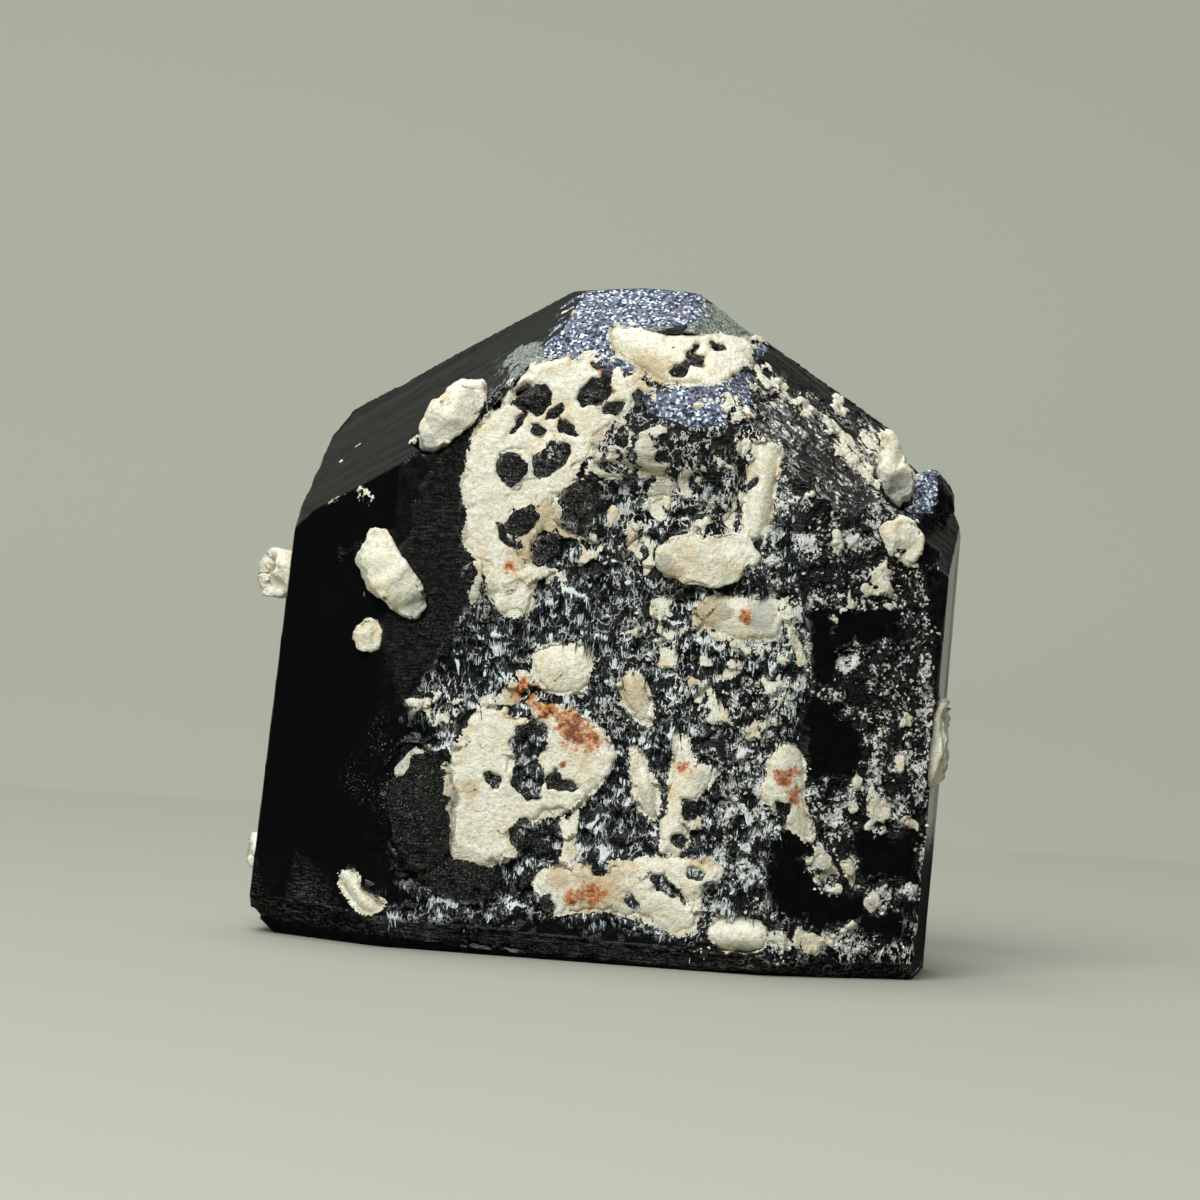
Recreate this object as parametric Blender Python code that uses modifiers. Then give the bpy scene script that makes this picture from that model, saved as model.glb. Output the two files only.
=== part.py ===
"""A stubby black schorl crystal with cream orthoclase grown into its front.

Everything is laid out in the crystal's own frame: X to the right, Y to the back, Z along the
crystal, with X and Y zero on the line through the tip. A parent empty then sets the crystal
on its broken base, which is not quite square to its length.
"""
import random
from math import cos, radians, sin

import bmesh
import bpy
from mathutils import Matrix, Vector

MM = 0.001

# How the specimen stands
BASE_SLOPE = radians(1.8)
BASE_LEVEL = 0.05 * MM
FRAME_SHIFT = Vector((-0.665, -7.48, -0.05)) * MM

# Height in mm where the three end faces would meet, and their slope in degrees
TIP = 34.2
END_STEEPNESS = 46.2

# Clearance left between a grain and its pocket, and how deep a patch is seated
GAP = 0.28 * MM
PATCH_DEPTH = 1.5 * MM
PATCH_CREST = 0.22 * MM

# The etched front is cut by ledges: first one's x and z, spacing across and up, depth, all in mm
LEDGE_START = (-3.6, 3.8)
LEDGE_PITCH = (2.1, 2.75)
LEDGE_COLUMNS, LEDGE_ROWS = 6, 7
LEDGE_DEPTH = 0.5


def clear_scene():
    for old in list(bpy.data.objects):
        bpy.data.objects.remove(old, do_unlink=True)


def new_collection(name):
    collection = bpy.data.collections.new(name)
    bpy.context.scene.collection.children.link(collection)
    return collection


clear_scene()
specimen = new_collection("schorl_with_orthoclase")
cutters = new_collection("cutters")

stand = bpy.data.objects.new("stand", None)
specimen.objects.link(stand)
stand.rotation_euler = (0.0, BASE_SLOPE, 0.0)
stand.location = FRAME_SHIFT


def material(name, colour, roughness, metallic=0.0):
    made = bpy.data.materials.new(name)
    made.use_nodes = True
    shader = made.node_tree.nodes["Principled BSDF"]
    shader.inputs["Base Color"].default_value = (*colour, 1.0)
    shader.inputs["Roughness"].default_value = roughness
    shader.inputs["Metallic"].default_value = metallic
    return made


SCHORL = material("schorl_black", (0.012, 0.012, 0.014), 0.22)
ORTHOCLASE = material("orthoclase_cream", (0.72, 0.66, 0.54), 0.75)


# Building helpers

def face_normal(azimuth, steepness=90.0):
    """Outward direction of a face: azimuth from the front toward the right, steepness from level."""
    turn, lift = radians(azimuth), radians(90.0 - steepness)
    return Vector((sin(turn) * cos(lift), -cos(turn) * cos(lift), sin(lift)))


def face(azimuth, steepness, distance):
    return face_normal(azimuth, steepness), distance * MM


def face_through(azimuth, steepness, x, y, z):
    normal = face_normal(azimuth, steepness)
    return normal, normal.dot(Vector((x, y, z)) * MM)


def add_object(name, bm, collection, surface=None):
    mesh = bpy.data.meshes.new(name)
    bmesh.ops.recalc_face_normals(bm, faces=bm.faces[:])
    bm.to_mesh(mesh)
    bm.free()
    made = bpy.data.objects.new(name, mesh)
    collection.objects.link(made)
    made.parent = stand
    if surface:
        mesh.materials.append(surface)
    if collection is cutters:
        made.hide_render = True
        made.display_type = "WIRE"
    return made


def trimmed_block(faces, grow=0.0, size=90 * MM):
    """A convex crystal: a cube trimmed by one plane after another."""
    bm = bmesh.new()
    bmesh.ops.create_cube(bm, size=size)
    for normal, distance in faces:
        cut = bmesh.ops.bisect_plane(
            bm, geom=bm.verts[:] + bm.edges[:] + bm.faces[:], dist=1e-7,
            plane_co=normal * (distance + grow), plane_no=normal, clear_outer=True)
        rim = [e for e in cut["geom_cut"] if isinstance(e, bmesh.types.BMEdge)]
        if len(rim) > 2:
            bmesh.ops.contextual_create(bm, geom=rim)
    return bm


def boolean(target, operation, tool):
    step = target.modifiers.new(f"{operation.lower()}_{tool.name}"[:60], "BOOLEAN")
    step.operation, step.solver, step.object = operation, "EXACT", tool
    return step


def wider(outline, amount):
    """The outline moved outward by the amount, corner by corner."""
    points = [Vector(p) for p in outline]
    area = sum(a.cross(b) for a, b in zip(points, points[1:] + points[:1]))
    side = 1.0 if area > 0 else -1.0
    moved = []
    for before, here, after in zip(points[-1:] + points, points, points[1:] + points[:1]):
        ahead, behind = (after - here).normalized(), (here - before).normalized()
        out = Vector((ahead.y + behind.y, -ahead.x - behind.x)).normalized() * side
        moved.append(here + out * amount)
    return moved


def upright_prism(outline, grow=0.0, near=-12.0, far=12.0):
    """A prism that runs from front to back, with an outline of (x, z) corners in mm."""
    bm = bmesh.new()
    corners = [bm.verts.new((p.x * MM, near * MM, p.y * MM)) for p in wider(outline, grow / MM)]
    sheet = bm.faces.new(corners)
    pushed = bmesh.ops.extrude_face_region(bm, geom=[sheet])
    moved = [v for v in pushed["geom"] if isinstance(v, bmesh.types.BMVert)]
    bmesh.ops.translate(bm, verts=moved, vec=(0, (far - near) * MM, 0))
    return bm


def oval(x, z, across, up, corners=8, turn=0.0):
    """An oval outline, (x, z) in mm."""
    ring = [radians(360.0 * i / corners) for i in range(corners)]
    spin = Matrix.Rotation(radians(turn), 2)
    return [tuple(Vector((x, z)) + spin @ Vector((across * cos(a), up * sin(a)))) for a in ring]


LUMPS = bpy.data.textures.new("lumps", "CLOUDS")
LUMPS.noise_scale = 0.9 * MM
LUMPS.noise_depth = 2


def weather(target, voxel, bumps, keep):
    """Rounds a solid's edges, makes it lumpy and thins its mesh again."""
    remesh = target.modifiers.new("rounded", "REMESH")
    remesh.mode, remesh.voxel_size = "VOXEL", voxel
    lumpy = target.modifiers.new("lumpy", "DISPLACE")
    lumpy.texture, lumpy.texture_coords = LUMPS, "LOCAL"
    lumpy.strength, lumpy.mid_level = bumps, 0.6
    thin = target.modifiers.new("thinned", "DECIMATE")
    thin.ratio = keep


# The schorl crystal

MAIN_FACES = [
    face(-7, 90, 3.2),
    face(-37, 90, 7.8),
    face_through(-97, 88.2, -15.45, 0, 20),
    face(-127, 90, 17.0),
    face(173, 90, 18.6),
    face(143, 90, 18.4),
    face(113, 90, 14.6),
    face(83, 90, 13.4),
    face(23, 90, 7.5),
    face_through(-67, END_STEEPNESS, 0, 0, TIP - 0.6),
    face_through(53, END_STEEPNESS, 0, 0, TIP - 0.3),
    face_through(173, END_STEEPNESS, 0, 0, TIP + 0.3),
    face_through(-90, 8, 0.7, 1, 32.4),
    face_through(-7, 33, 0, 2.4, 32.65),
    face_through(-7, 60, 0, -1.6, 29.8),
    face_through(-100, 60, -13.3, 9.6, 25.6),
    face_through(-67, 62, -15.2, 1.7, 19.2),
]

FRONT_CHIPS = [
    face_through(-37, 132, -12.5, -0.3, 1.3),
    face_through(-7, 128, 0, -3.2, 1.1),
    face_through(23, 131, 12, -3.05, 1.2),
    face_through(-97, 139, -15.1, 6, 0.45),
    face_through(143, 122, 11.1, 14.7, 0.9),
    face_through(173, 125, -2.3, 18.5, 0.5),
]

SIDE_FACES = [
    face(23, 90, 7.42),
    face_through(83, 89.6, 16.15, -1.3, 12),
    face_through(100, 89, 17.2, 5.6, 12),
    face(143, 90, 15.6),
    face(-97, 90, -10.6),
    face_through(53, END_STEEPNESS, 0, 0, TIP - 0.6),
    face_through(173, END_STEEPNESS, 0, 0, TIP - 1.2),
    face_through(100, 40, 14.6, 3.5, 25.0),
    face_through(90, 64, 16.5, 3.5, 22.9),
    face_through(150, 50, 13.5, 9.0, 23.0),
    face_through(23, 131, 12, -3.0, 1.3),
    face_through(88, 128, 17.2, 2, 0.7),
]

BASE_FACE = (Vector((sin(BASE_SLOPE), 0, -cos(BASE_SLOPE))), -BASE_LEVEL * cos(BASE_SLOPE))


def crystal_body(grow=0.0):
    return trimmed_block(MAIN_FACES + FRONT_CHIPS + [BASE_FACE], grow)


def side_crystal_body(grow=0.0):
    return trimmed_block(SIDE_FACES + [BASE_FACE], grow)


def boss(name, centre, radii, turn=(0, 0, 0), rings=5, around=9, seed=1):
    """A rounded knob with slightly uneven flats."""
    bm = bmesh.new()
    bmesh.ops.create_uvsphere(bm, u_segments=around, v_segments=rings, radius=1.0)
    rng = random.Random(seed)
    for v in bm.verts:
        v.co *= 1.0 + rng.uniform(-0.09, 0.09)
    place = Matrix.Translation(Vector(centre) * MM)
    for axis, angle in zip("ZYX", turn):
        place = place @ Matrix.Rotation(radians(angle), 4, axis)
    place = place @ Matrix.Diagonal((*(Vector(radii) * MM), 1.0))
    bmesh.ops.transform(bm, matrix=place, verts=bm.verts[:])
    return add_object(name, bm, cutters)


def front_depth(x):
    """Y of the front of the crystal, in mm, at x in mm."""
    middle = -3.224 - 0.1228 * x
    left = -(7.8 + 0.602 * x) / 0.799
    right = -(7.5 - 0.3907 * x) / 0.9205
    return max(middle, left, right)


def ledge_cuts():
    """Staggered arched niches, deepest under their tops, that step the etched front like thatch."""
    rng = random.Random(7)
    bm = bmesh.new()
    for row in range(LEDGE_ROWS):
        for column in range(LEDGE_COLUMNS):
            x = LEDGE_START[0] + (column + 0.5 * (row % 2)) * LEDGE_PITCH[0] + rng.uniform(-0.15, 0.15)
            z = LEDGE_START[1] + row * LEDGE_PITCH[1] + rng.uniform(-0.3, 0.3)
            if rng.random() < 0.2:
                continue
            width, height = rng.uniform(0.7, 0.95), rng.uniform(0.95, 1.3)
            lean = rng.uniform(11, 16)
            centre = Vector((x, front_depth(x) - 0.6 + LEDGE_DEPTH / 2, z)) * MM
            place = (Matrix.Translation(centre) @ Matrix.Rotation(radians(rng.uniform(-12, 12)), 4, "Y")
                     @ Matrix.Rotation(radians(90 - lean), 4, "X")
                     @ Matrix.Diagonal((width * MM, height * MM, 1.2 * MM, 1.0)))
            bmesh.ops.create_cone(bm, cap_ends=True, segments=8, radius1=1.0, radius2=1.0,
                                  depth=1.0, matrix=place)
    return add_object("ledge_cuts", bm, cutters)


def pit_cuts():
    """Shallow pits of the speckled right part of the front and of its end face."""
    rng = random.Random(12)
    bm = bmesh.new()
    for column in range(4):
        for row in range(8):
            x = 10.2 + column * 1.55 + rng.uniform(-0.25, 0.25)
            z = 3.2 + row * 2.1 + rng.uniform(-0.4, 0.4)
            if rng.random() < 0.25:
                continue
            centre = Vector((x, -(7.5 - 0.3907 * x) / 0.9205 - 0.18, z)) * MM
            size = Vector((rng.uniform(0.4, 0.65), 0.55, rng.uniform(0.4, 0.8))) * MM
            bmesh.ops.create_icosphere(bm, subdivisions=1, radius=1.0, matrix=(
                Matrix.Translation(centre) @ Matrix.Diagonal((*size, 1.0))))
    return add_object("pit_cuts", bm, cutters)


def make_schorl():
    schorl = add_object("schorl_crystal", crystal_body(), specimen, SCHORL)
    boolean(schorl, "UNION", add_object("side_crystal", side_crystal_body(), cutters))
    boolean(schorl, "UNION", boss("tip_knob", (15.2, 3.3, 23.4), (1.35, 1.2, 1.3), seed=3))
    boolean(schorl, "UNION", boss("front_knob", (-8.1, -1.9, 6.0), (2.0, 1.1, 3.0), (-10, 0, 0), seed=5))
    boolean(schorl, "UNION", boss("front_dome", (1.6, -2.9, 24.6), (2.9, 1.3, 1.9), seed=8))
    boolean(schorl, "DIFFERENCE", ledge_cuts())
    boolean(schorl, "DIFFERENCE", pit_cuts())
    return schorl


schorl_crystal = make_schorl()

# The etched middle of the front lies a little deeper than the smooth rim around it
ETCHED_DEPTH = 0.2 * MM
ETCHED_OUTLINE = [
    (-4.7, 16.5), (-7.1, 14.3), (-8.1, 11.9), (-8.9, 10.1), (-6.7, 9.6), (-6.4, 4.3), (-2.7, 2.6), (8.6, 2.9),
    (8.4, 21.8), (4.0, 22.4), (-2.6, 23.2), (-3.6, 20.0),
]
etched = add_object("etched_front", upright_prism(ETCHED_OUTLINE, far=0.5), cutters)
boolean(etched, "DIFFERENCE", add_object("etched_floor", crystal_body(-ETCHED_DEPTH), cutters))
boolean(schorl_crystal, "DIFFERENCE", etched)


# Orthoclase patches that fill pockets of the front

crest_body = add_object("crest_body", crystal_body(PATCH_CREST), cutters)
boolean(crest_body, "UNION", add_object("crest_side", side_crystal_body(PATCH_CREST), cutters))
seat_body = add_object("seat_body", crystal_body(GAP - PATCH_DEPTH), cutters)
floor_body = add_object("floor_body", crystal_body(-PATCH_DEPTH), cutters)


def patch(name, outline, islands=(), keep=0.1):
    """A cream patch seated in a pocket of its own outline, with black islands left standing."""
    grain = add_object(name, upright_prism(outline, -GAP / 2, far=1.0), specimen, ORTHOCLASE)
    pocket = add_object(f"pocket_{name}", upright_prism(outline, GAP / 2, far=1.2), cutters)
    boolean(grain, "INTERSECT", crest_body)
    boolean(grain, "DIFFERENCE", seat_body)
    boolean(pocket, "DIFFERENCE", floor_body)
    for number, island in enumerate(islands):
        label = f"{name}_island_{number}"
        boolean(grain, "DIFFERENCE",
                add_object(f"{label}_hole", upright_prism(island, GAP / 2), cutters))
        boolean(pocket, "DIFFERENCE",
                add_object(f"{label}_core", upright_prism(island, -GAP / 2), cutters))
    weather(grain, 0.2 * MM, 0.2 * MM, keep)
    boolean(schorl_crystal, "DIFFERENCE", pocket)
    return grain


patch("orthoclase_upper_mass", [
    (-6.0, 25.9), (-6.9, 24.6), (-7.3, 22.2), (-6.8, 20.8), (-6.9, 19.4), (-5.8, 18.6), (-5.3, 16.9),
    (-4.5, 16.1), (-3.6, 16.8), (-3.6, 18.0), (-4.8, 19.6), (-5.1, 21.6), (-3.4, 21.8), (-2.4, 22.6),
    (-1.4, 24.6), (-0.4, 26.0), (0.9, 27.5), (-0.4, 28.1), (-1.9, 27.9), (-2.9, 28.6), (-4.6, 27.9),
], islands=[oval(-4.9, 23.2, 0.7, 0.8), oval(-3.2, 24.1, 0.65, 0.9), oval(-4.4, 26.6, 0.8, 0.55, 5),
            oval(-1.5, 27.0, 0.8, 0.45, 6)], keep=0.12)

patch("orthoclase_crown_sheet", [
    (-1.0, 30.3), (1.7, 30.0), (4.2, 30.4), (6.1, 30.5), (5.6, 29.4), (4.9, 28.6), (3.9, 28.1),
    (1.8, 28.0), (0.6, 28.6), (-0.6, 29.2),
], islands=[oval(3.1, 29.1, 0.7, 0.35, 6)])

patch("orthoclase_upper_strip", [
    (6.5, 25.5), (7.5, 25.4), (7.4, 24.0), (7.4, 22.5), (7.1, 21.3), (6.6, 21.0), (6.1, 21.8), (6.1, 23.4),
])

patch("orthoclase_cream_patch", [
    (4.3, 17.0), (4.8, 17.8), (6.2, 18.1), (8.0, 18.0), (8.3, 16.8), (7.3, 16.3), (5.6, 16.5),
])

patch("orthoclase_centre_grain", [
    (-3.1, 13.3), (-2.9, 14.8), (-0.7, 15.1), (-0.5, 14.2), (-0.8, 13.0), (-2.2, 12.8),
])

patch("orthoclase_upper_blade", [(1.2, 13.9), (1.9, 13.9), (2.6, 12.8), (2.6, 11.7), (1.8, 12.1), (1.2, 12.9)])

patch("orthoclase_middle_blade", [(2.0, 10.9), (2.7, 9.6), (3.4, 8.4), (3.4, 7.2), (2.6, 7.7), (2.1, 9.1)])

patch("orthoclase_forked_blade", [
    (4.2, 11.4), (4.7, 10.2), (6.0, 9.6), (5.0, 8.5), (4.6, 7.6), (4.9, 6.0), (3.8, 5.8), (4.0, 8.0), (3.9, 9.9),
])

patch("orthoclase_rust_blade", [
    (9.0, 11.5), (9.9, 11.0), (10.2, 8.6), (10.8, 7.0), (9.9, 7.4), (9.4, 7.9), (8.3, 9.0), (8.6, 10.2),
])

patch("orthoclase_lower_mass", [
    (-5.2, 11.8), (-4.0, 11.1), (-2.8, 11.3), (-2.4, 12.2), (-0.6, 11.8), (0.8, 10.7), (0.9, 9.4),
    (0.2, 8.3), (-0.6, 7.4), (-2.2, 6.9), (-3.4, 5.9), (-3.1, 5.0), (-4.0, 4.5), (-6.0, 4.5), (-6.4, 7.0),
    (-6.5, 9.6), (-5.8, 10.6),
], islands=[oval(-3.0, 9.4, 0.75, 1.5, 8, 8)], keep=0.12)

patch("orthoclase_base_band", [
    (-2.1, 3.9), (-0.6, 4.6), (1.0, 4.8), (3.4, 5.3), (6.4, 5.5), (6.6, 4.9), (5.7, 4.3), (5.7, 2.4),
    (4.9, 2.0), (3.4, 2.6), (1.0, 2.8), (-1.3, 2.3), (-1.8, 3.2),
], islands=[[(3.4, 3.7), (3.4, 4.2), (4.8, 4.4), (4.8, 3.8)]])

patch("orthoclase_base_grain", [(6.4, 2.1), (6.8, 2.9), (8.7, 2.9), (9.0, 1.8), (8.3, 1.5), (7.0, 1.5)])

patch("orthoclase_corner_grain", [(-11.3, 3.0), (-10.8, 3.3), (-10.4, 2.3), (-9.2, 1.8), (-10.1, 1.4), (-11.2, 2.4)])


# Orthoclase crystals and grains that stand out of the surface

def grain_faces(size, rng):
    """Feldspar habit: three uneven pairs of flats and slanted corners."""
    half = Vector(size) * 0.5
    pairs = [(Vector((1, 0, 0)), half.x), (Vector((0.12, 1, 0.05)), half.y), (Vector((-0.1, 0.06, 1)), half.z)]
    flats = []
    for axis, reach in pairs:
        for side in (1, -1):
            tilt = Vector([rng.uniform(-0.14, 0.14) for _ in range(3)])
            flats.append(((axis * side + tilt).normalized(), reach))
    for sx in (1, -1):
        for sz in (1, -1):
            slant = Vector((sx * rng.uniform(0.5, 1.0), rng.uniform(-0.5, 0.5), sz * rng.uniform(0.5, 1.0)))
            slant.normalize()
            corner = abs(slant.x) * half.x + abs(slant.y) * half.y + abs(slant.z) * half.z
            flats.append((slant, corner * rng.uniform(0.68, 0.8)))
    return flats


def grain(name, centre, size, turn=(0, 0, 0), seed=1, bumps=0.14, keep=0.3):
    """A single feldspar crystal in a socket of the schorl; sizes and centre in mm, turns in degrees."""
    place = Matrix.Translation(Vector(centre) * MM)
    for axis, angle in zip("YXZ", turn):
        place = place @ Matrix.Rotation(radians(angle), 4, axis)
    flats = [(n, d * MM) for n, d in grain_faces(size, random.Random(seed))]
    body = trimmed_block(flats, -GAP / 2, size=20 * MM)
    bmesh.ops.transform(body, matrix=place, verts=body.verts[:])
    socket = trimmed_block(flats, GAP / 2, size=20 * MM)
    bmesh.ops.transform(socket, matrix=place, verts=socket.verts[:])
    made = add_object(name, body, specimen, ORTHOCLASE)
    weather(made, 0.2 * MM, bumps * MM, keep)
    boolean(schorl_crystal, "DIFFERENCE", add_object(f"socket_{name}", socket, cutters))
    return made


grain("orthoclase_shoulder_crystal", (-8.5, -1.9, 25.4), (3.6, 2.4, 1.9), (-42, 0, 0), seed=4, keep=0.12)
grain("orthoclase_left_crystal", (-10.6, -2.0, 17.3), (4.1, 2.2, 2.0), (50, 0, -14), seed=9, keep=0.1)
grain("orthoclase_left_grain", (-11.2, -1.6, 14.4), (1.5, 1.2, 1.1), (-30, 0, 0), seed=11)
grain("orthoclase_mid_crystal", (4.6, -3.9, 19.7), (4.6, 2.2, 1.9), (-4, 0, 0), seed=2, keep=0.1)
grain("orthoclase_right_grain", (13.8, -1.8, 21.5), (2.4, 2.0, 2.1), (20, 0, 20), seed=6, keep=0.16)
grain("orthoclase_right_shoulder", (13.7, 1.9, 24.2), (1.6, 1.8, 3.0), (20, -25, 0), seed=15, keep=0.14)
grain("orthoclase_left_edge_grain", (-15.7, 3.2, 16.9), (1.9, 2.0, 2.1), (10, 0, 20), seed=21, keep=0.2)
grain("orthoclase_left_low_grain", (-15.7, 5.0, 3.3), (1.3, 1.5, 1.4), (0, 20, 0), seed=23)
grain("orthoclase_right_edge_grain", (16.5, 0.3, 12.0), (1.3, 1.7, 4.0), (4, 0, 0), seed=25, keep=0.2)
grain("orthoclase_back_crystal", (-4.0, 18.9, 12.5), (3.4, 2.2, 2.4), (25, 0, 8), seed=31, keep=0.1)
grain("orthoclase_back_grain", (5.2, 13.7, 19.0), (2.0, 1.8, 1.6), (-20, 0, 0), seed=33, keep=0.2)
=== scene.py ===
"""Schorl with orthoclase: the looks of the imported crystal, its feldspar and the table it is photographed on."""

import math

import bmesh
import bpy
import numpy as np
from mathutils import Euler, Matrix, Vector
from mathutils.bvhtree import BVHTree


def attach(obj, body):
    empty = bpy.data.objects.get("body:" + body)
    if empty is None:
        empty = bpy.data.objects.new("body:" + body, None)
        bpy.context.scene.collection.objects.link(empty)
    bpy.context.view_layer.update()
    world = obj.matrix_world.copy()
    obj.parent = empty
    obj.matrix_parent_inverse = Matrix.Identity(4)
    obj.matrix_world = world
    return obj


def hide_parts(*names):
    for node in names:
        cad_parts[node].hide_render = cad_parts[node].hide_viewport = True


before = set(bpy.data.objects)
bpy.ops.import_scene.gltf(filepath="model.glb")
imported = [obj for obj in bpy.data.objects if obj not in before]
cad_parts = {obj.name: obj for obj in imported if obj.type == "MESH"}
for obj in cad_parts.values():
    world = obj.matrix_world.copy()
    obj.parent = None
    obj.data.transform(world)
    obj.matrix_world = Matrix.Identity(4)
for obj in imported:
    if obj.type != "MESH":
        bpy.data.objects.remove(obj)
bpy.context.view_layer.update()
MM = 0.001

# Camera
# The photograph looks level at the etched front, from about 350 mm away, with the crystal leaning a little

CAMERA_AIM = Vector((-0.27, 7.65, 17.0)) * MM
CAMERA_DISTANCE = 350 * MM
CAMERA_DROP = math.radians(2.0)
CAMERA_ROLL = math.radians(5.5)
FRAME_WIDTH = 58.8 * MM

CRYSTAL_PLACE = (Matrix.Translation(Vector((-0.665, -7.48, -0.05)) * MM)
                 @ Matrix.Rotation(math.radians(1.8), 4, "Y"))


def photo_camera():
    """A camera placed in the crystal's own frame, then carried to the standing crystal."""
    ahead = Vector((0, math.cos(CAMERA_DROP), -math.sin(CAMERA_DROP)))
    right, up = Vector((1, 0, 0)), Vector((0, math.sin(CAMERA_DROP), math.cos(CAMERA_DROP)))
    across = right * math.cos(CAMERA_ROLL) + up * math.sin(CAMERA_ROLL)
    upward = -right * math.sin(CAMERA_ROLL) + up * math.cos(CAMERA_ROLL)
    turn = Matrix((across, upward, -ahead)).transposed().to_4x4()
    camera = bpy.data.objects.new("photo_camera", bpy.data.cameras.new("photo_camera"))
    bpy.context.scene.collection.objects.link(camera)
    camera.matrix_world = CRYSTAL_PLACE @ Matrix.Translation(CAMERA_AIM - ahead * CAMERA_DISTANCE) @ turn
    camera.data.sensor_width = 36
    camera.data.lens = 36 * CAMERA_DISTANCE / FRAME_WIDTH
    camera.data.clip_start = 0.001
    bpy.context.scene.camera = camera


photo_camera()

# Schorl crystal
# One black tourmaline: glassy left face, end faces with fine grooves, and a front that is etched
# into needles and salted with feldspar too fine to be solids. Feldspar fills its pockets.

FINE = 0.125 * MM
TO_CRYSTAL = np.array(CRYSTAL_PLACE.inverted())

# Zones of the front, each an outline of (x, z) in mm in the crystal's own frame
NEEDLE_ZONE = [
    (-6.4, 16.8), (-2.3, 19.1), (-0.7, 22.1), (1.0, 23.7), (6.6, 25.7), (8.8, 22.1), (9.9, 13.6), (9.6, 8.8),
    (8.9, 3.9), (6.0, 1.8), (-2.6, 2.1), (-9.0, 1.0), (-9.4, 2.7), (-3.7, 3.7), (-6.6, 9.1), (-8.8, 9.4),
    (-9.2, 11.0), (-7.6, 13.8),
]
SALT_ZONES = [
    [(7.2, 24.3), (15.2, 20.8), (16.4, 14.2), (16.9, 1.8), (6.1, 1.3), (5.9, 13.2), (6.2, 19.9)],
    [(-2.3, 18.1), (9.0, 20.2), (9.7, 12.6), (1.3, 10.9), (-3.7, 13.2)],
    [(5.7, 27.7), (8.2, 28.7), (11.7, 27.1), (14.7, 22.6), (14.0, 20.7), (7.6, 24.3)],
]
BARE_ZONES = [
    [(9.7, 13.6), (10.3, 14.1), (11.6, 12.8), (12.5, 12.2), (12.8, 11.0), (12.4, 10.1), (10.6, 10.1), (10.1, 11.7)],
    [(9.3, 8.0), (9.6, 8.6), (10.3, 6.9), (10.8, 6.5), (10.4, 5.6), (11.1, 4.6), (12.2, 4.0), (13.5, 4.5),
     (14.0, 3.6), (11.6, 2.7), (10.2, 3.1), (9.1, 4.0), (8.8, 5.8), (9.1, 7.3)],
    [(9.8, 18.1), (10.7, 18.2), (11.3, 14.7), (10.6, 14.1), (10.0, 15.0)],
    [(10.8, 17.9), (14.1, 18.3), (14.1, 16.9), (11.1, 16.3)],
    [(13.2, 7.3), (15.8, 7.6), (15.9, 5.6), (13.4, 5.4)],
    [(13.4, 3.7), (15.9, 4.1), (16.0, 2.4), (13.6, 2.3)],
    [(-14.6, 17.9), (-11.8, 14.4), (-10.9, 14.5), (-9.7, 12.2), (-9.2, 11.6), (-7.8, 11.1), (-7.0, 10.3),
     (-8.1, 9.5), (-9.2, 8.5), (-9.5, 6.9), (-9.4, 5.0), (-8.9, 3.4), (-7.4, 2.1), (-9.3, 1.6), (-13.1, 1.6)],
]
LEFT_FACE, DOME, COLUMN = [
    (-10.5, 14.5), (-9.9, 18.4), (-8.6, 24.2), (-6.4, 26.3), (-7.2, 22.9), (-6.8, 18.7), (-4.7, 16.5),
    (-7.1, 14.3), (-9.3, 11.7),
], [
    (-1.3, 26.6), (0.7, 27.1), (3.9, 26.1), (5.3, 26.3), (5.9, 24.2), (5.5, 22.8), (3.5, 23.2), (1.1, 23.6),
    (-0.8, 23.1), (-1.5, 24.9),
], [
    (-2.9, 22.8), (-0.8, 23.1), (-0.2, 22.2), (-0.4, 20.6), (-2.3, 20.6),
]
KNOB = [
    (-9.3, 8.4), (-8.8, 9.3), (-7.6, 9.5), (-6.7, 8.7), (-6.2, 7.3), (-6.0, 5.4), (-5.0, 4.8), (-3.8, 4.1),
    (-3.7, 3.0), (-5.0, 2.4), (-6.5, 2.7), (-8.0, 3.7), (-9.0, 5.1), (-9.5, 6.9),
]
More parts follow.
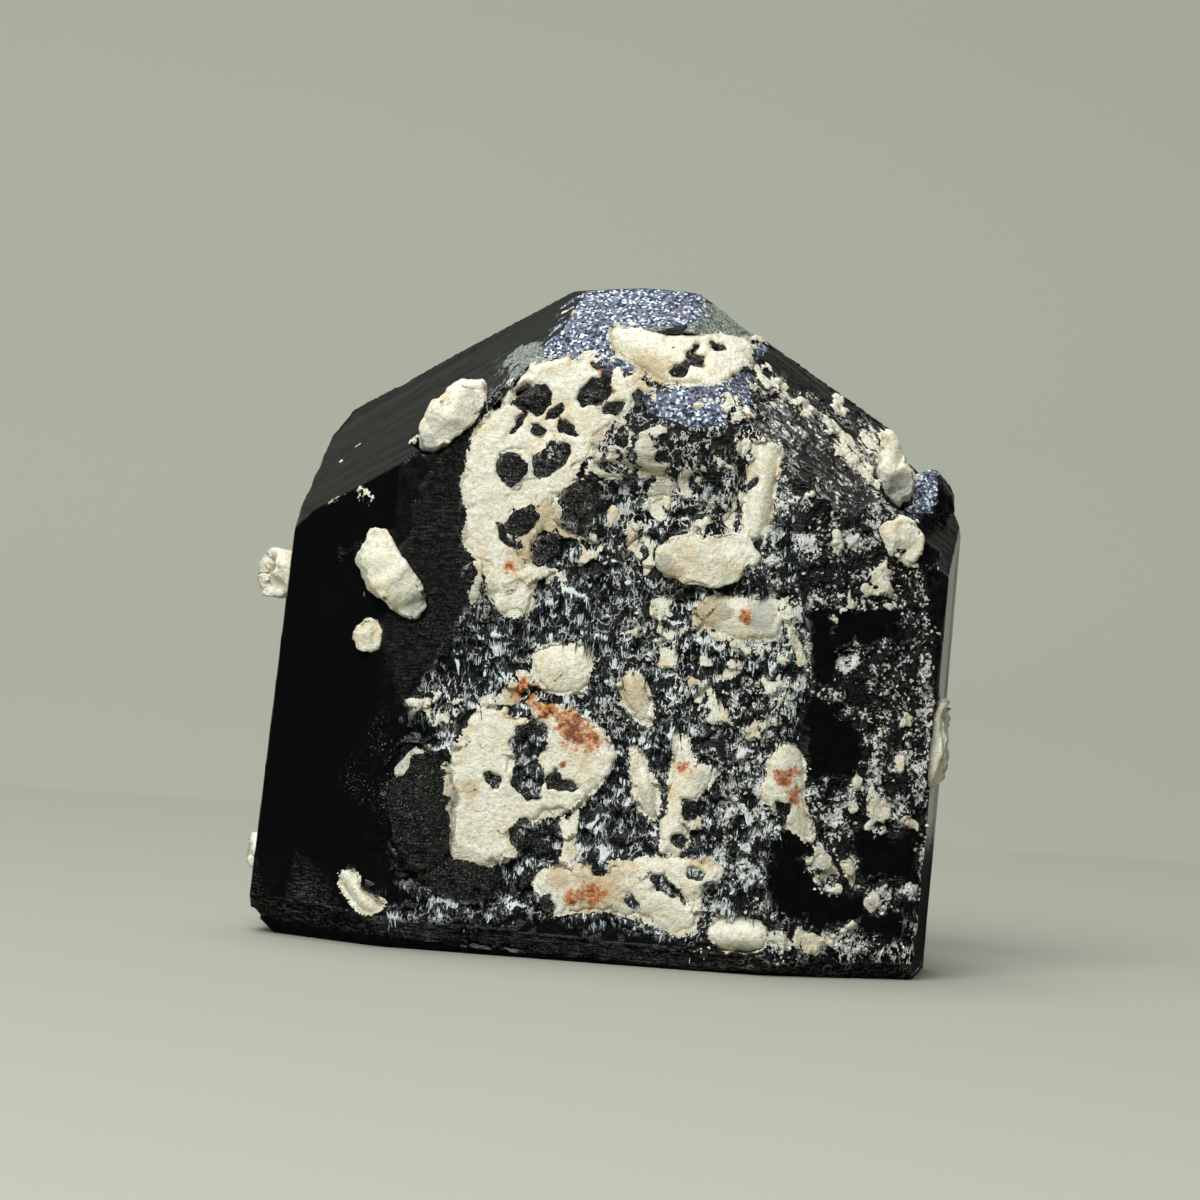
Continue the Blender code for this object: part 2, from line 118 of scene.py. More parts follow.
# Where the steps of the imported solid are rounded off: the dome with its columns, and the scarp under the top
SOFT_ZONES = [
    [(-3.2, 20.2), (-3.2, 23.2), (-1.6, 25.0), (-1.4, 27.0), (4.0, 26.8), (6.4, 26.2), (6.6, 22.0), (1.4, 20.2)],
    [(0.6, 30.0), (0.6, 31.3), (5.8, 31.3), (6.0, 30.0)],
]
# Where grey specks are painted on the rough black schorl as painted sparkle, as outlines of (x, z) in mm
SPARKLE_ZONES = [
    [(-12.4, 11.9), (-9.2, 11.3), (-9.2, 8.5), (-9.2, 4.1), (-8.4, 2.3), (-11.2, 1.8), (-12.1, 6.7)],
    [(-11.6, 14.6), (-10.6, 19.4), (-9.6, 23.4), (-6.4, 26.3), (-7.0, 22.9), (-6.8, 18.7), (-4.7, 16.5), (-7.1, 13.0)],
]
TARNISH_ZONES = [
    [(-4.2, 29.9), (-3.6, 31.1), (-2.6, 31.9), (0.7, 32.8), (2.8, 32.7), (3.6, 32.1), (3.2, 31.0), (0.9, 30.5),
     (-0.4, 30.2), (-1.2, 29.2), (-1.8, 28.7), (-3.5, 28.4), (-4.2, 28.9)],
    [(-2.1, 29.4), (-1.2, 29.5), (0.5, 28.9), (1.3, 28.6), (-0.8, 28.2)],
    [(0.9, 27.4), (3.5, 28.0), (6.0, 29.0), (6.0, 27.9), (4.6, 27.4), (4.9, 26.2), (3.2, 25.9), (1.2, 26.5)],
    [(5.2, 27.7), (6.1, 27.9), (6.0, 27.2), (5.4, 27.1)],
    [(5.8, 30.3), (6.4, 30.2), (6.3, 29.4), (6.0, 29.4)],
    [(-4.6, 27.6), (-4.3, 27.7), (-4.3, 27.1), (-4.5, 27.2)],
    [(13.7, 24.5), (14.4, 25.2), (15.4, 25.0), (15.6, 23.7), (15.3, 22.9), (13.9, 22.8)],
]
VEIL_ZONES = [
    [(2.2, 31.0), (3.0, 31.9), (4.4, 31.8), (6.6, 30.6), (5.5, 30.4), (3.0, 30.5)],
    [(-0.6, 31.0), (0.6, 31.2), (1.8, 30.9), (1.4, 30.4), (-0.2, 30.4)],
    [(-2.2, 31.6), (-0.6, 31.7), (-0.5, 30.4), (-1.8, 30.2)],
    [(-6.1, 28.1), (-5.2, 29.1), (-4.1, 29.5), (-3.9, 28.4), (-4.4, 27.8), (-5.8, 27.2)],
]
# Where the front is webbed with feldspar between its larger masses
WEB_ZONES = [
    [(-5.9, 28.4), (-1.2, 29.6), (7.4, 28.6), (8.4, 24.6), (7.0, 20.6), (1.6, 19.2), (-2.4, 18.6), (-6.6, 17.4),
     (-7.2, 22.6)],
    [(-5.6, 14.4), (-3.2, 13.4), (-1.6, 11.0), (-4.4, 9.6), (-7.4, 9.2), (-9.0, 11.4), (-7.8, 12.6)],
    [(2.0, 18.0), (9.6, 18.4), (9.6, 12.6), (2.4, 12.0)],
    [(8.4, 3.4), (16.2, 4.0), (16.4, 1.4), (8.2, 0.9)],
    [(11.0, 27.2), (12.8, 27.0), (15.0, 23.6), (13.6, 22.4), (11.0, 24.6)],
]
# Schorl that stands in the feldspar, as (x, z, half width, half height) in mm
BLACK_ISLANDS = [
    (-4.4, 26.6, 1.0, 0.7), (-1.5, 27.1, 0.95, 0.6), (-3.2, 26.0, 0.5, 0.25), (-3.95, 25.25, 0.35, 0.35),
    (-5.0, 25.3, 0.14, 0.55), (-3.2, 23.7, 0.6, 1.05), (-5.1, 23.15, 0.7, 0.8), (-4.4, 20.8, 0.75, 0.55),
    (-5.0, 20.0, 0.24, 0.9), (-1.5, 21.85, 1.0, 0.95), (-3.0, 19.5, 0.45, 0.8), (-2.6, 25.4, 0.6, 0.3), (-0.4, 26.6, 0.5, 0.35),
    (3.2, 29.1, 0.6, 0.3), (3.0, 29.6, 0.5, 0.3), (2.5, 28.6, 0.5, 0.35), (4.1, 29.9, 0.4, 0.25),
    (-0.9, 28.0, 0.5, 0.35), (-3.0, 10.3, 0.9, 1.0), (-2.9, 8.6, 0.7, 1.0), (-4.5, 8.4, 0.4, 0.5),
    (-1.6, 8.7, 0.45, 0.45), (-1.0, 8.4, 0.5, 0.4), (-3.0, 6.4, 0.35, 0.35), (4.1, 4.1, 1.1, 0.3), (1.0, 4.5, 0.4, 0.35),
    (-1.5, 2.7, 0.5, 0.6), (2.6, 3.3, 0.2, 0.5), (5.4, 4.9, 0.4, 0.25), (6.0, 4.4, 0.2, 0.4), (4.9, 8.0, 0.5, 0.4),
    (-3.0, 5.9, 0.5, 0.7), (-2.1, 5.6, 0.6, 0.9), (-7.2, 27.3, 0.4, 0.3), (0.6, 27.2, 0.4, 0.3), (1.2, 30.4, 1.2, 0.2),
    (6.4, 23.6, 0.2, 0.5), (9.3, 8.2, 0.3, 0.5), (4.6, 6.4, 0.4, 0.4),
]

# Thin feldspar too small for a solid: lines of (x, z) in mm and their half width
FELDSPAR_LINES = [
    # under the crown
    ([(-3.8, 27.3), (-2.5, 27.9), (-1.8, 28.8)], 0.38), ([(-1.2, 27.5), (-0.1, 27.7), (0.6, 28.2)], 0.38),
    ([(-2.8, 26.7), (-1.1, 26.0), (0.0, 27.0)], 0.29), ([(-2.2, 25.1), (-1.1, 25.7)], 0.29),
    ([(5.2, 30.1), (6.3, 30.7)], 0.24), ([(5.5, 29.4), (6.5, 28.9), (6.9, 28.2)], 0.29),
    ([(7.5, 28.2), (8.1, 27.4)], 0.24), ([(-3.0, 31.0), (-3.3, 30.7)], 0.24), ([(-1.5, 31.7)], 0.14),
    ([(0.7, 31.5), (0.9, 31.1)], 0.0), ([(5.7, 26.9)], 0.24), ([(5.6, 26.1), (5.9, 24.2)], 0.14),
    # between the dome and the middle crystal
    ([(1.2, 24.7), (1.7, 23.8)], 0.5), ([(2.1, 23.1), (1.9, 21.9)], 0.45), ([(3.1, 23.5), (3.3, 22.7)], 0.5),
    ([(-0.9, 23.5), (0.3, 23.4)], 0.19), ([(0.9, 25.3), (2.0, 25.9)], 0.14), ([(3.6, 24.5), (3.9, 24.0)], 0.19),
    ([(5.0, 22.4), (5.2, 21.7)], 0.19), ([(0.8, 21.2), (1.1, 19.7)], 0.3), ([(1.5, 20.9), (1.9, 19.0)], 0.14),
    ([(-1.7, 19.9), (-1.4, 19.2), (-0.5, 19.7)], 0.19), ([(-3.5, 18.3), (-2.5, 18.4)], 0.33),
    ([(-1.1, 20.3)], 0.19), ([(-4.98, 21.7), (-4.29, 21.96), (-3.6, 22.21)], 0.4),
    ([(-4.24, 23.87), (-4.12, 23.21), (-3.82, 22.57)], 0.22), ([(-2.77, 21.53), (-3.2, 21.01), (-3.61, 20.4)], 0.4),
    ([(-3.61, 20.4), (-4.01, 19.6), (-3.95, 18.93)], 0.42), ([(-2.47, 20.41), (-1.68, 20.11)], 0.3), ([(-6.3, 18.5), (-6.1, 16.8)], 0.24),
    # middle
    ([(4.6, 16.7), (4.9, 17.4), (5.5, 17.8)], 0.33), ([(2.7, 17.5), (2.9, 16.5)], 0.19),
    ([(2.2, 17.0), (2.3, 16.7)], 0.14), ([(0.8, 15.8), (1.8, 16.2)], 0.14), ([(2.7, 15.8), (3.1, 14.9)], 0.19),
    ([(3.0, 14.4), (3.6, 14.8)], 0.19), ([(3.2, 16.0), (4.6, 16.4), (6.5, 16.4)], 0.14),
    ([(4.6, 14.0), (5.1, 13.7)], 0.24), ([(4.9, 14.8)], 0.19), ([(6.5, 15.8), (6.9, 15.8)], 0.14),
    ([(8.0, 14.7), (8.3, 14.1)], 0.19), ([(8.6, 18.2), (9.1, 16.4), (9.5, 15.4)], 0.24),
    ([(7.1, 11.6), (7.9, 12.3), (8.4, 12.6)], 0.33), ([(5.5, 12.3), (6.3, 12.4)], 0.24),
    ([(5.0, 12.9)], 0.24), ([(10.4, 17.8), (11.0, 17.6)], 0.29),
    # right of the front and the right end face
    ([(13.0, 20.3), (13.3, 18.7)], 0.29), ([(12.2, 19.0), (12.6, 18.8)], 0.29), ([(11.4, 18.9), (11.6, 18.3)], 0.14),
    ([(13.4, 20.6), (14.5, 20.5)], 0.14), ([(10.6, 21.4), (10.8, 20.7)], 0.33), ([(9.2, 23.6)], 0.29),
    ([(10.2, 27.8), (10.6, 27.4)], 0.24), ([(9.9, 26.8), (10.3, 26.4)], 0.24),
    ([(10.6, 26.1), (10.9, 25.4), (11.6, 24.9)], 0.33), ([(11.6, 24.9), (12.2, 24.2)], 0.29),
    ([(10.66, 25.54), (11.14, 24.96), (11.96, 24.09), (12.97, 23.45)], 0.27), ([(8.4, 27.6), (9.6, 26.7)], 0.2),
    ([(12.7, 24.3), (13.1, 23.5)], 0.29), ([(11.8, 26.1), (12.5, 25.5)], 0.29),
    ([(12.9, 26.3), (13.2, 24.9), (13.1, 23.9)], 0.29), ([(13.6, 24.9), (14.1, 24.5)], 0.24),
    # the ridge over the glassy face
    ([(-14.2, 19.6), (-13.8, 19.7)], 0.2), ([(-13.3, 20.6), (-12.8, 21.0)], 0.1), ([(-12.3, 20.9), (-11.8, 20.3), (-11.4, 19.8)], 0.15),
    ([(-12.1, 21.4), (-11.7, 21.1)], 0.05), ([(-11.1, 21.6), (-10.7, 22.2)], 0.05), ([(-13.7, 23.0), (-13.3, 22.7)], 0.12),
    ([(-13.0, 22.7), (-12.5, 23.6), (-12.1, 24.0)], 0.05), ([(-9.8, 24.5), (-9.9, 23.9)], 0.12),
    # lower left
    ([(-4.4, 12.2), (-3.7, 13.0)], 0.35), ([(-3.1, 12.4), (-2.1, 11.8)], 0.33),
    ([(-9.1, 11.8), (-8.1, 11.6), (-7.8, 11.2)], 0.19), ([(-7.6, 10.4), (-7.0, 10.9)], 0.19),
    ([(-5.1, 12.0), (-5.1, 10.9)], 0.33), ([(-8.8, 8.5), (-8.6, 9.1), (-8.2, 9.4)], 0.29),
    ([(-6.8, 8.6), (-6.3, 6.7)], 0.14), ([(-9.1, 3.0), (-9.0, 2.5)], 0.19), ([(-3.4, 5.1)], 0.38),
    ([(-0.6, 6.9), (-0.6, 5.5), (-0.9, 4.5)], 0.43), ([(2.9, 4.3), (3.6, 4.5)], 0.24),
    # lower right
    ([(4.8, 7.1), (5.4, 7.4)], 0.24), ([(9.5, 2.3), (10.0, 2.4)], 0.24), ([(10.6, 2.3), (11.4, 2.0)], 0.29),
    ([(12.4, 2.8), (13.1, 3.0)], 0.24), ([(13.6, 3.9), (14.0, 4.2)], 0.29), ([(11.1, 6.5), (12.2, 5.7)], 0.24),
    ([(12.7, 6.1), (12.9, 5.1)], 0.29), ([(10.7, 6.2)], 0.19), ([(11.0, 5.3), (11.4, 5.5)], 0.24),
    ([(12.3, 4.8)], 0.24), ([(14.8, 5.5), (14.5, 5.0)], 0.19), ([(14.5, 10.9)], 0.33),
    ([(13.5, 9.2), (13.9, 8.5)], 0.33), ([(13.7, 7.8)], 0.24), ([(12.5, 8.8)], 0.29),
    ([(14.7, 13.1), (15.1, 12.9)], 0.29), ([(13.5, 15.3)], 0.24), ([(12.8, 9.8)], 0.19),
    ([(15.5, 8.2), (15.7, 7.9)], 0.19), ([(11.4, 10.4)], 0.19), ([(13.4, 12.3)], 0.19),
]

# Stains as (x, z, radius) in mm
RUST_SPOTS = [
    (-0.9, 11.2, 1.0), (-0.1, 10.7, 0.7), (-3.3, 12.6, 0.8), (-2.3, 12.0, 0.6), (-4.7, 18.4, 0.4), (6.7, 17.2, 0.4), (1.3, 16.8, 0.4), (9.3, 9.9, 0.6),
    (9.8, 9.0, 0.5), (4.3, 9.9, 0.4), (0.6, 3.4, 0.7), (-0.3, 3.1, 0.4), (-1.9, 11.7, 0.4), (-1.3, 9.4, 0.2),
    (-1.2, 28.2, 0.3), (-0.7, 27.3, 0.2), (5.9, 26.6, 0.2), (7.4, 27.3, 0.2),
]
TAN_SPOTS = [
    (-3.3, 21.0, 1.1), (-4.0, 19.5, 1.2), (-2.3, 20.4, 0.9), (-3.6, 12.3, 1.1), (-2.4, 11.9, 0.6), (0.9, 20.4, 0.6), (1.8, 13.3, 0.9),
    (4.7, 17.3, 1.3), (3.2, 18.9, 0.8), (1.0, 3.9, 1.9), (-0.9, 4.0, 0.9), (5.6, 5.5, 0.7), (-2.0, 20.1, 0.6),
    (1.0, 28.5, 1.4), (-2.9, 15.2, 0.4), (-5.6, 7.8, 0.6),
]


# Clear grey parts of the feldspar, as (x, z, radius) in mm
CLEAR_SPOTS = [(-8.7, 16.2, 0.9), (2.6, 19.3, 0.6), (7.4, 17.4, 0.8), (5.6, 17.4, 0.5), (13.6, 24.0, 0.8), (-9.2, 24.0, 0.5)]


def smooth(low, high, value):
    t = np.clip((value - low) / (high - low), 0, 1)
    return t * t * (3 - 2 * t)


def scatter_value(*cell):
    """A repeatable random value, 0 to 1, for whole-number cells."""
    mix = np.zeros_like(cell[0])
    for part, prime in zip(cell, (73856093, 19349663, 83492791, 49979687)):
        mix = mix ^ (part * prime)
    mix = ((mix ^ (mix >> 13)) * 1274126177) & 0xFFFFFFFF
    return ((mix ^ (mix >> 16)) & 0xFFFFFF) / 0xFFFFFF


def noise(points, size, seed=0):
    """Smooth noise, -1 to 1, with bumps of the given size in mm; size may be one per axis."""
    scaled = points / np.asarray(size)
    cell = np.floor(scaled).astype(np.int64)
    part = scaled - cell
    part = part * part * (3 - 2 * part)
    total = 0
    for corner in np.ndindex(2, 2, 2):
        weight = np.prod(np.where(corner, part, 1 - part), axis=1)
        at = cell + corner
        total = total + weight * scatter_value(at[:, 0], at[:, 1], at[:, 2], np.full(len(at), seed + 1))
    return total * 2 - 1


def inside(x, z, outline):
    """Distance in mm to the outline, positive inside it."""
    nearest, crossings = np.full(x.shape, 1e9), np.zeros(x.shape, bool)
    for (ax, az), (bx, bz) in zip(outline, outline[1:] + outline[:1]):
        dx, dz = bx - ax, bz - az
        t = np.clip(((x - ax) * dx + (z - az) * dz) / (dx * dx + dz * dz), 0, 1)
        nearest = np.minimum(nearest, np.hypot(x - ax - t * dx, z - az - t * dz))
        if dz:
            crossings ^= ((az > z) != (bz > z)) & (x < dx * (z - az) / dz + ax)
    return np.where(crossings, nearest, -nearest)


def zone(x, z, outlines, fade=0.5):
    """1 inside any of the outlines, 0 outside, with a soft edge of the given width in mm."""
    return np.max([smooth(-fade / 2, fade / 2, inside(x, z, outline)) for outline in outlines], axis=0)


def near_line(x, z, line):
    """Distance in mm to a line of points, or to a single point."""
    if len(line) == 1:
        return np.hypot(x - line[0][0], z - line[0][1])
    nearest = np.full(x.shape, 1e9)
    for (ax, az), (bx, bz) in zip(line, line[1:]):
        dx, dz = bx - ax, bz - az
        t = np.clip(((x - ax) * dx + (z - az) * dz) / (dx * dx + dz * dz), 0, 1)
        nearest = np.minimum(nearest, np.hypot(x - ax - t * dx, z - az - t * dz))
    return nearest


def spots(x, z, places):
    """1 at the middle of each stain, fading to 0 at its radius."""
    return np.max([np.clip(1.4 - np.hypot(x - px, z - pz) / r, 0, 1) for px, pz, r in places], axis=0)


def ledges(x, z, width, height, seed):
    """Overlapping scales like thatch: how far down its scale each point is, 0 to 1, and the scale's own value."""
    u, v = x / width, z / height
    column, row = np.floor(u).astype(np.int64), np.floor(v).astype(np.int64)
    best, down, own = np.full(x.shape, 1e9), np.zeros(x.shape), np.zeros(x.shape)
    fixed = np.full(x.shape, seed)
    for i in (-1, 0, 1):
        for j in (-1, 0, 1):
            cx, cz = column + i, row + j
            px = cx + 0.15 + 0.7 * scatter_value(cx, cz, fixed)
            pz = cz + 0.15 + 0.7 * scatter_value(cx, cz, fixed + 7)
            far = (u - px) ** 2 + (v - pz) ** 2
            closer = far < best
            best = np.where(closer, far, best)
            down = np.where(closer, 0.5 - (v - pz), down)
            own = np.where(closer, scatter_value(cx, cz, fixed + 3), own)
    return np.clip(down, 0, 1), own


def bare_ground(points):
    """1 where the front is clean black, with a ragged edge."""
    ragged = 0.32 * noise(points, 0.6, 91) + 0.26 * noise(points, 0.27, 92)
    return np.max([smooth(-0.2, 0.2, inside(points[:, 0], points[:, 2], outline) + ragged) for outline in BARE_ZONES], axis=0)


def from_islands(x, z):
    """Distance in mm to the nearest schorl island of the feldspar, negative on it; the islands are angular blocks."""
    flat = np.stack([x.ravel(), 0 * x.ravel(), z.ravel()], 1)
    bend = [(0.17 * noise(flat, 0.8, seed) + 0.13 * noise(flat, 0.32, seed + 1)).reshape(x.shape) for seed in (81, 83)]
    nearest = np.full(x.shape, 9.0)
    for number, (ix, iz, across, up) in enumerate(BLACK_ISLANDS):
        turn = 0.9 * math.sin(7.3 * number)
        dx, dz = x + bend[0] - ix, z + bend[1] - iz
        u = np.abs(dx * math.cos(turn) + dz * math.sin(turn)) / across
        v = np.abs(dz * math.cos(turn) - dx * math.sin(turn)) / up
        nearest = np.minimum(nearest, (np.maximum(np.maximum(u, v), 0.7 * (u + v)) - 1) * min(across, up))
    return nearest


def fine_mesh(name, node, voxel):
    """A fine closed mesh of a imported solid, with its flats kept exactly flat."""
    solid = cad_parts[node]
    piece = bpy.data.objects.new(name, solid.data.copy())
    bpy.context.scene.collection.objects.link(piece)
    remesh = piece.modifiers.new("fine", "REMESH")
    remesh.mode, remesh.voxel_size = "VOXEL", voxel
    flats = piece.modifiers.new("flats", "SHRINKWRAP")
    flats.target, flats.wrap_method = solid, "NEAREST_SURFACEPOINT"
    return bake(piece)


def bake(piece):
    """Turns a piece's modifiers into plain mesh."""
    seen = piece.evaluated_get(bpy.context.evaluated_depsgraph_get())
    mesh = bpy.data.meshes.new_from_object(seen)
    mesh.name = piece.name
    piece.modifiers.clear()
    piece.data = mesh
    return piece


def crystal_points(mesh):
    """Vertices and normals in mm in the crystal's own frame."""
    points = np.empty(len(mesh.vertices) * 3, np.float32)
    normals = np.empty(len(mesh.vertices) * 3, np.float32)
    mesh.vertices.foreach_get("co", points)
    mesh.vertex_normals.foreach_get("vector", normals)
    points, normals = points.reshape(-1, 3).astype(float), normals.reshape(-1, 3).astype(float)
    turn = TO_CRYSTAL[:3, :3]
    return (points @ turn.T + TO_CRYSTAL[:3, 3]) / MM, normals @ turn.T


def push(mesh, amount):
    """Moves each vertex along its normal by so many mm, but not below the level it rests on."""
    points = np.empty(len(mesh.vertices) * 3, np.float32)
    normals = np.empty(len(mesh.vertices) * 3, np.float32)
    mesh.vertices.foreach_get("co", points)
    mesh.vertex_normals.foreach_get("vector", normals)
    points += normals * np.repeat(amount * MM, 3).astype(np.float32)
    points[2::3] = np.maximum(points[2::3], 0)
    mesh.vertices.foreach_set("co", points)
    mesh.update()


def keep_value(mesh, name, value):
    attribute = mesh.attributes.new(name, "FLOAT", "POINT")
    attribute.data.foreach_set("value", np.asarray(value, np.float32))


# Masses and blades that fill flat pockets of the front; their edges are frayed against the schorl
SHEETS = ("upper_mass", "crown_sheet", "upper_strip", "cream_patch", "centre_grain", "upper_blade", "middle_blade",
          "forked_blade", "rust_blade", "lower_mass", "base_band", "base_grain", "corner_grain")
SHEET_STEP = 0.1
SHEET_MARGIN = 0.8
SHEET_CREST = 0.22


def measure_sheet(name):
    """Seen from the front: a grid over one packed feldspar sheet, its outline distance and the face it lies in."""
    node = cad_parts["orthoclase_" + name]
    corners = crystal_points(node.data)[0]
    tree = BVHTree.FromPolygons([Vector(p) for p in corners], [list(p.vertices) for p in node.data.polygons])
    low, high = corners.min(0) - SHEET_MARGIN, corners.max(0) + SHEET_MARGIN
    xs, zs = np.arange(low[0], high[0], SHEET_STEP), np.arange(low[2], high[2], SHEET_STEP)
    depth = np.array([[tree.ray_cast(Vector((x, -30, z)), Vector((0, 1, 0)))[0] or (0, np.nan, 0) for z in zs]
                      for x in xs], dtype=float)[:, :, 1]
    hit = ~np.isnan(depth)
    gx, gz = np.meshgrid(xs, zs, indexing="ij")
    terms = face_terms(gx[hit], gz[hit])
    face = np.linalg.lstsq(terms, depth[hit] + SHEET_CREST, rcond=None)[0]
    padded = np.pad(hit, 1)
    buried = padded[:-2, 1:-1] & padded[2:, 1:-1] & padded[1:-1, :-2] & padded[1:-1, 2:]
    rim = np.stack([gx[hit & ~buried], gz[hit & ~buried]], 1)
    flat = np.stack([gx.ravel(), gz.ravel()], 1)
    reach = np.concatenate([np.sqrt(((part[:, None] - rim[None]) ** 2).sum(2).min(1))
                            for part in np.array_split(flat, 1 + len(flat) // 2000)]).reshape(gx.shape)
    return {"x": gx, "z": gz, "inside": np.where(hit, reach, -reach), "face": face}


def face_terms(x, z):
    return np.stack([np.ones_like(x), x, z, x * x, x * z, z * z], -1)


def fill_pockets(points, sheets):
    """Lifts the floors of the pockets to just under the face, so that the schorl shows between the feldspar."""
    x, y, z = points.T
    for sheet in sheets.values():
        column = np.round((x - sheet["x"][0, 0]) / SHEET_STEP).astype(int)
        row = np.round((z - sheet["z"][0, 0]) / SHEET_STEP).astype(int)
        shape = sheet["x"].shape
        near = (column >= 0) & (column < shape[0]) & (row >= 0) & (row < shape[1])
        inside_by = np.full(x.shape, -9.0)
        inside_by[near] = sheet["inside"][column[near], row[near]]
        face = face_terms(x, z) @ sheet["face"]
        sunk = (inside_by > -0.45) & (y > face + 0.06) & (y < face + 2.4)
        y = np.where(sunk, face + 0.06, y)
    return np.stack([x, y, z], 1)


def front_depth(x):
    """Y of the flat front of the crystal, in mm, at x in mm."""
    return np.maximum.reduce([-3.224 - 0.1228 * x, -(7.8 + 0.602 * x) / 0.799, -(7.5 - 0.3907 * x) / 0.9205])


# Rounded schorl bosses under the dome, as (x, z, half width, half height, how far they stand out) in mm
TIP_KNOB = np.array((15.0, 2.9, 23.5))
BOSSES = [(-1.7, 21.7, 1.1, 1.3, 0.7), (2.6, 25.2, 3.0, 1.6, 0.5), (-4.6, 18.0, 0.5, 0.9, 0.3), (4.9, 23.2, 0.8, 1.6, 0.4),
          (1.2, 22.0, 0.5, 1.2, 0.3), (-3.4, 24.1, 0.8, 1.2, 0.2), (-4.9, 23.2, 0.8, 1.0, 0.2)]

# Outlines of the crystals and grains that stand out, as (x, z) in mm; True where the socket is in the flat front
GRAIN_OUTLINES = {
    "left_crystal": ([(-11.9, 18.4), (-11.4, 19.6), (-10.8, 19.6), (-9.8, 18.3), (-8.8, 17.1), (-8.6, 16.3), (-8.9, 15.7),
                      (-9.5, 15.7), (-10.1, 16.1), (-11.4, 16.9), (-11.9, 17.7)], True),
    "left_grain": ([(-11.7, 14.9), (-11.2, 15.4), (-10.5, 15.1), (-10.7, 14.1), (-11.5, 13.9), (-11.8, 14.4)], True),
    "mid_crystal": ([(2.3, 20.0), (2.8, 20.6), (3.7, 20.9), (4.3, 20.6), (5.1, 21.0), (5.9, 21.2), (6.6, 21.0), (7.0, 20.2),
                     (6.5, 19.5), (6.1, 19.1), (5.2, 18.6), (4.3, 18.7), (3.5, 18.6), (2.6, 18.8)], True),
    "right_grain": ([(12.2, 22.3), (12.8, 22.55), (13.5, 22.55), (14.2, 22.3), (14.75, 21.75), (14.85, 21.1), (14.4, 20.65),
                     (13.8, 20.6), (13.2, 20.95), (12.6, 21.6)], True),
    "shoulder_crystal": ([(-9.6, 24.7), (-9.0, 25.9), (-7.9, 27.0), (-6.9, 27.1), (-6.6, 26.2), (-7.1, 25.2),
                          (-8.1, 24.2), (-8.8, 23.6), (-9.4, 23.7)], False),
    "right_shoulder": ([(12.7, 26.5), (13.2, 26.2), (13.7, 25.4), (14.2, 24.7), (14.2, 23.9), (13.7, 23.0), (12.9, 23.4),
                        (12.6, 24.3), (12.6, 25.5)], False),
}


def fill_sockets(points):
    """Closes the sockets in the flat front to just under the face; their crystals then stand on it."""
    x, y, z = points.T
    face = front_depth(x)
    for outline, in_front in GRAIN_OUTLINES.values():
        if in_front:
            sunk = (inside(x, z, outline) > -0.9) & (y > face + 0.1) & (y < face + 2.6)
            y = np.where(sunk, face + 0.1, y)
    return np.stack([x, y, z], 1)


def set_crystal_points(mesh, points):
    back = np.array(CRYSTAL_PLACE)
    world = (points * MM) @ back[:3, :3].T + back[:3, 3]
    mesh.vertices.foreach_set("co", world.astype(np.float32).ravel())
    mesh.update()


def schorl_fields(points, normals):
    """Where the front is etched, salted, bare, tarnished or covered, 0 to 1, for points in the crystal's frame."""
    x, z = points[:, 0], points[:, 2]
    wobble = noise(points, 0.9, 11) * 0.35 + noise(points, 0.35, 12) * 0.2
    wx, wz = x + wobble, z + noise(points, 0.9, 13) * 0.35
    forward = smooth(0.15, 0.45, -normals[:, 1]) * (points[:, 1] < 6.5)
    from_tip = np.linalg.norm(points - TIP_KNOB, axis=1)
    fields = {
        "needle": zone(wx, wz, [NEEDLE_ZONE]) * forward * (1 - 0.55 * smooth(21, 22.5, z)),
        "salt": np.maximum(zone(wx, wz, SALT_ZONES[::2], 0.9), 0.45 * zone(wx, wz, SALT_ZONES[1:2], 0.9)) * forward,
        "bare": bare_ground(points) * forward,
        "rough": zone(wx, wz, [LEFT_FACE, DOME, COLUMN], 0.6) * forward,
        "tarnish": zone(x + wobble * 0.5, z, TARNISH_ZONES, 0.3) * np.where(x > 13.6, from_tip < 1.75, forward),
        "veil": zone(wx, wz, VEIL_ZONES, 0.4) * np.where((z > 28) & (points[:, 1] < 6), 1, forward),
    }
    ragged = 0.45 * noise(points, 0.55, 14) + 0.35 * noise(points, 0.27, 15)
    lines = np.max([0.5 + (r - near_line(wx, wz, line)) / 0.45 for line, r in FELDSPAR_LINES], axis=0)
    threads = 1 - np.abs(noise(points, (0.8, 0.8, 1.4), 16)) * 4.5
    blots = noise(points, (0.7, 0.7, 0.9), 17) * 1.5 - 0.25 + 0.25 * smooth(20, 22, z) * (x < 6)
    fields["web"] = zone(x, z, WEB_ZONES, 1.2) * forward
    web = fields["web"] * (0.95 + 0.55 * np.maximum(threads, blots)) - 1
    fields["island"] = smooth(0.1, -0.1, from_islands(x, z)) * forward
    lines = np.maximum(lines, web) + ragged
    fields["lines"] = np.clip(lines, 0, 1) * forward * (1 - 0.9 * fields["bare"]) * (1 - fields["island"])
    return fields


def feldspar_tree():
    """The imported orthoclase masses, for how near a point of the schorl is to any of them."""
    corners, faces = [], []
    for name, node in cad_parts.items():
        if name[11:] in SHEETS:
            start = len(corners)
            corners += [v.co for v in node.data.vertices]
            faces += [[start + i for i in p.vertices] for p in node.data.polygons]
    return BVHTree.FromPolygons(corners, faces)


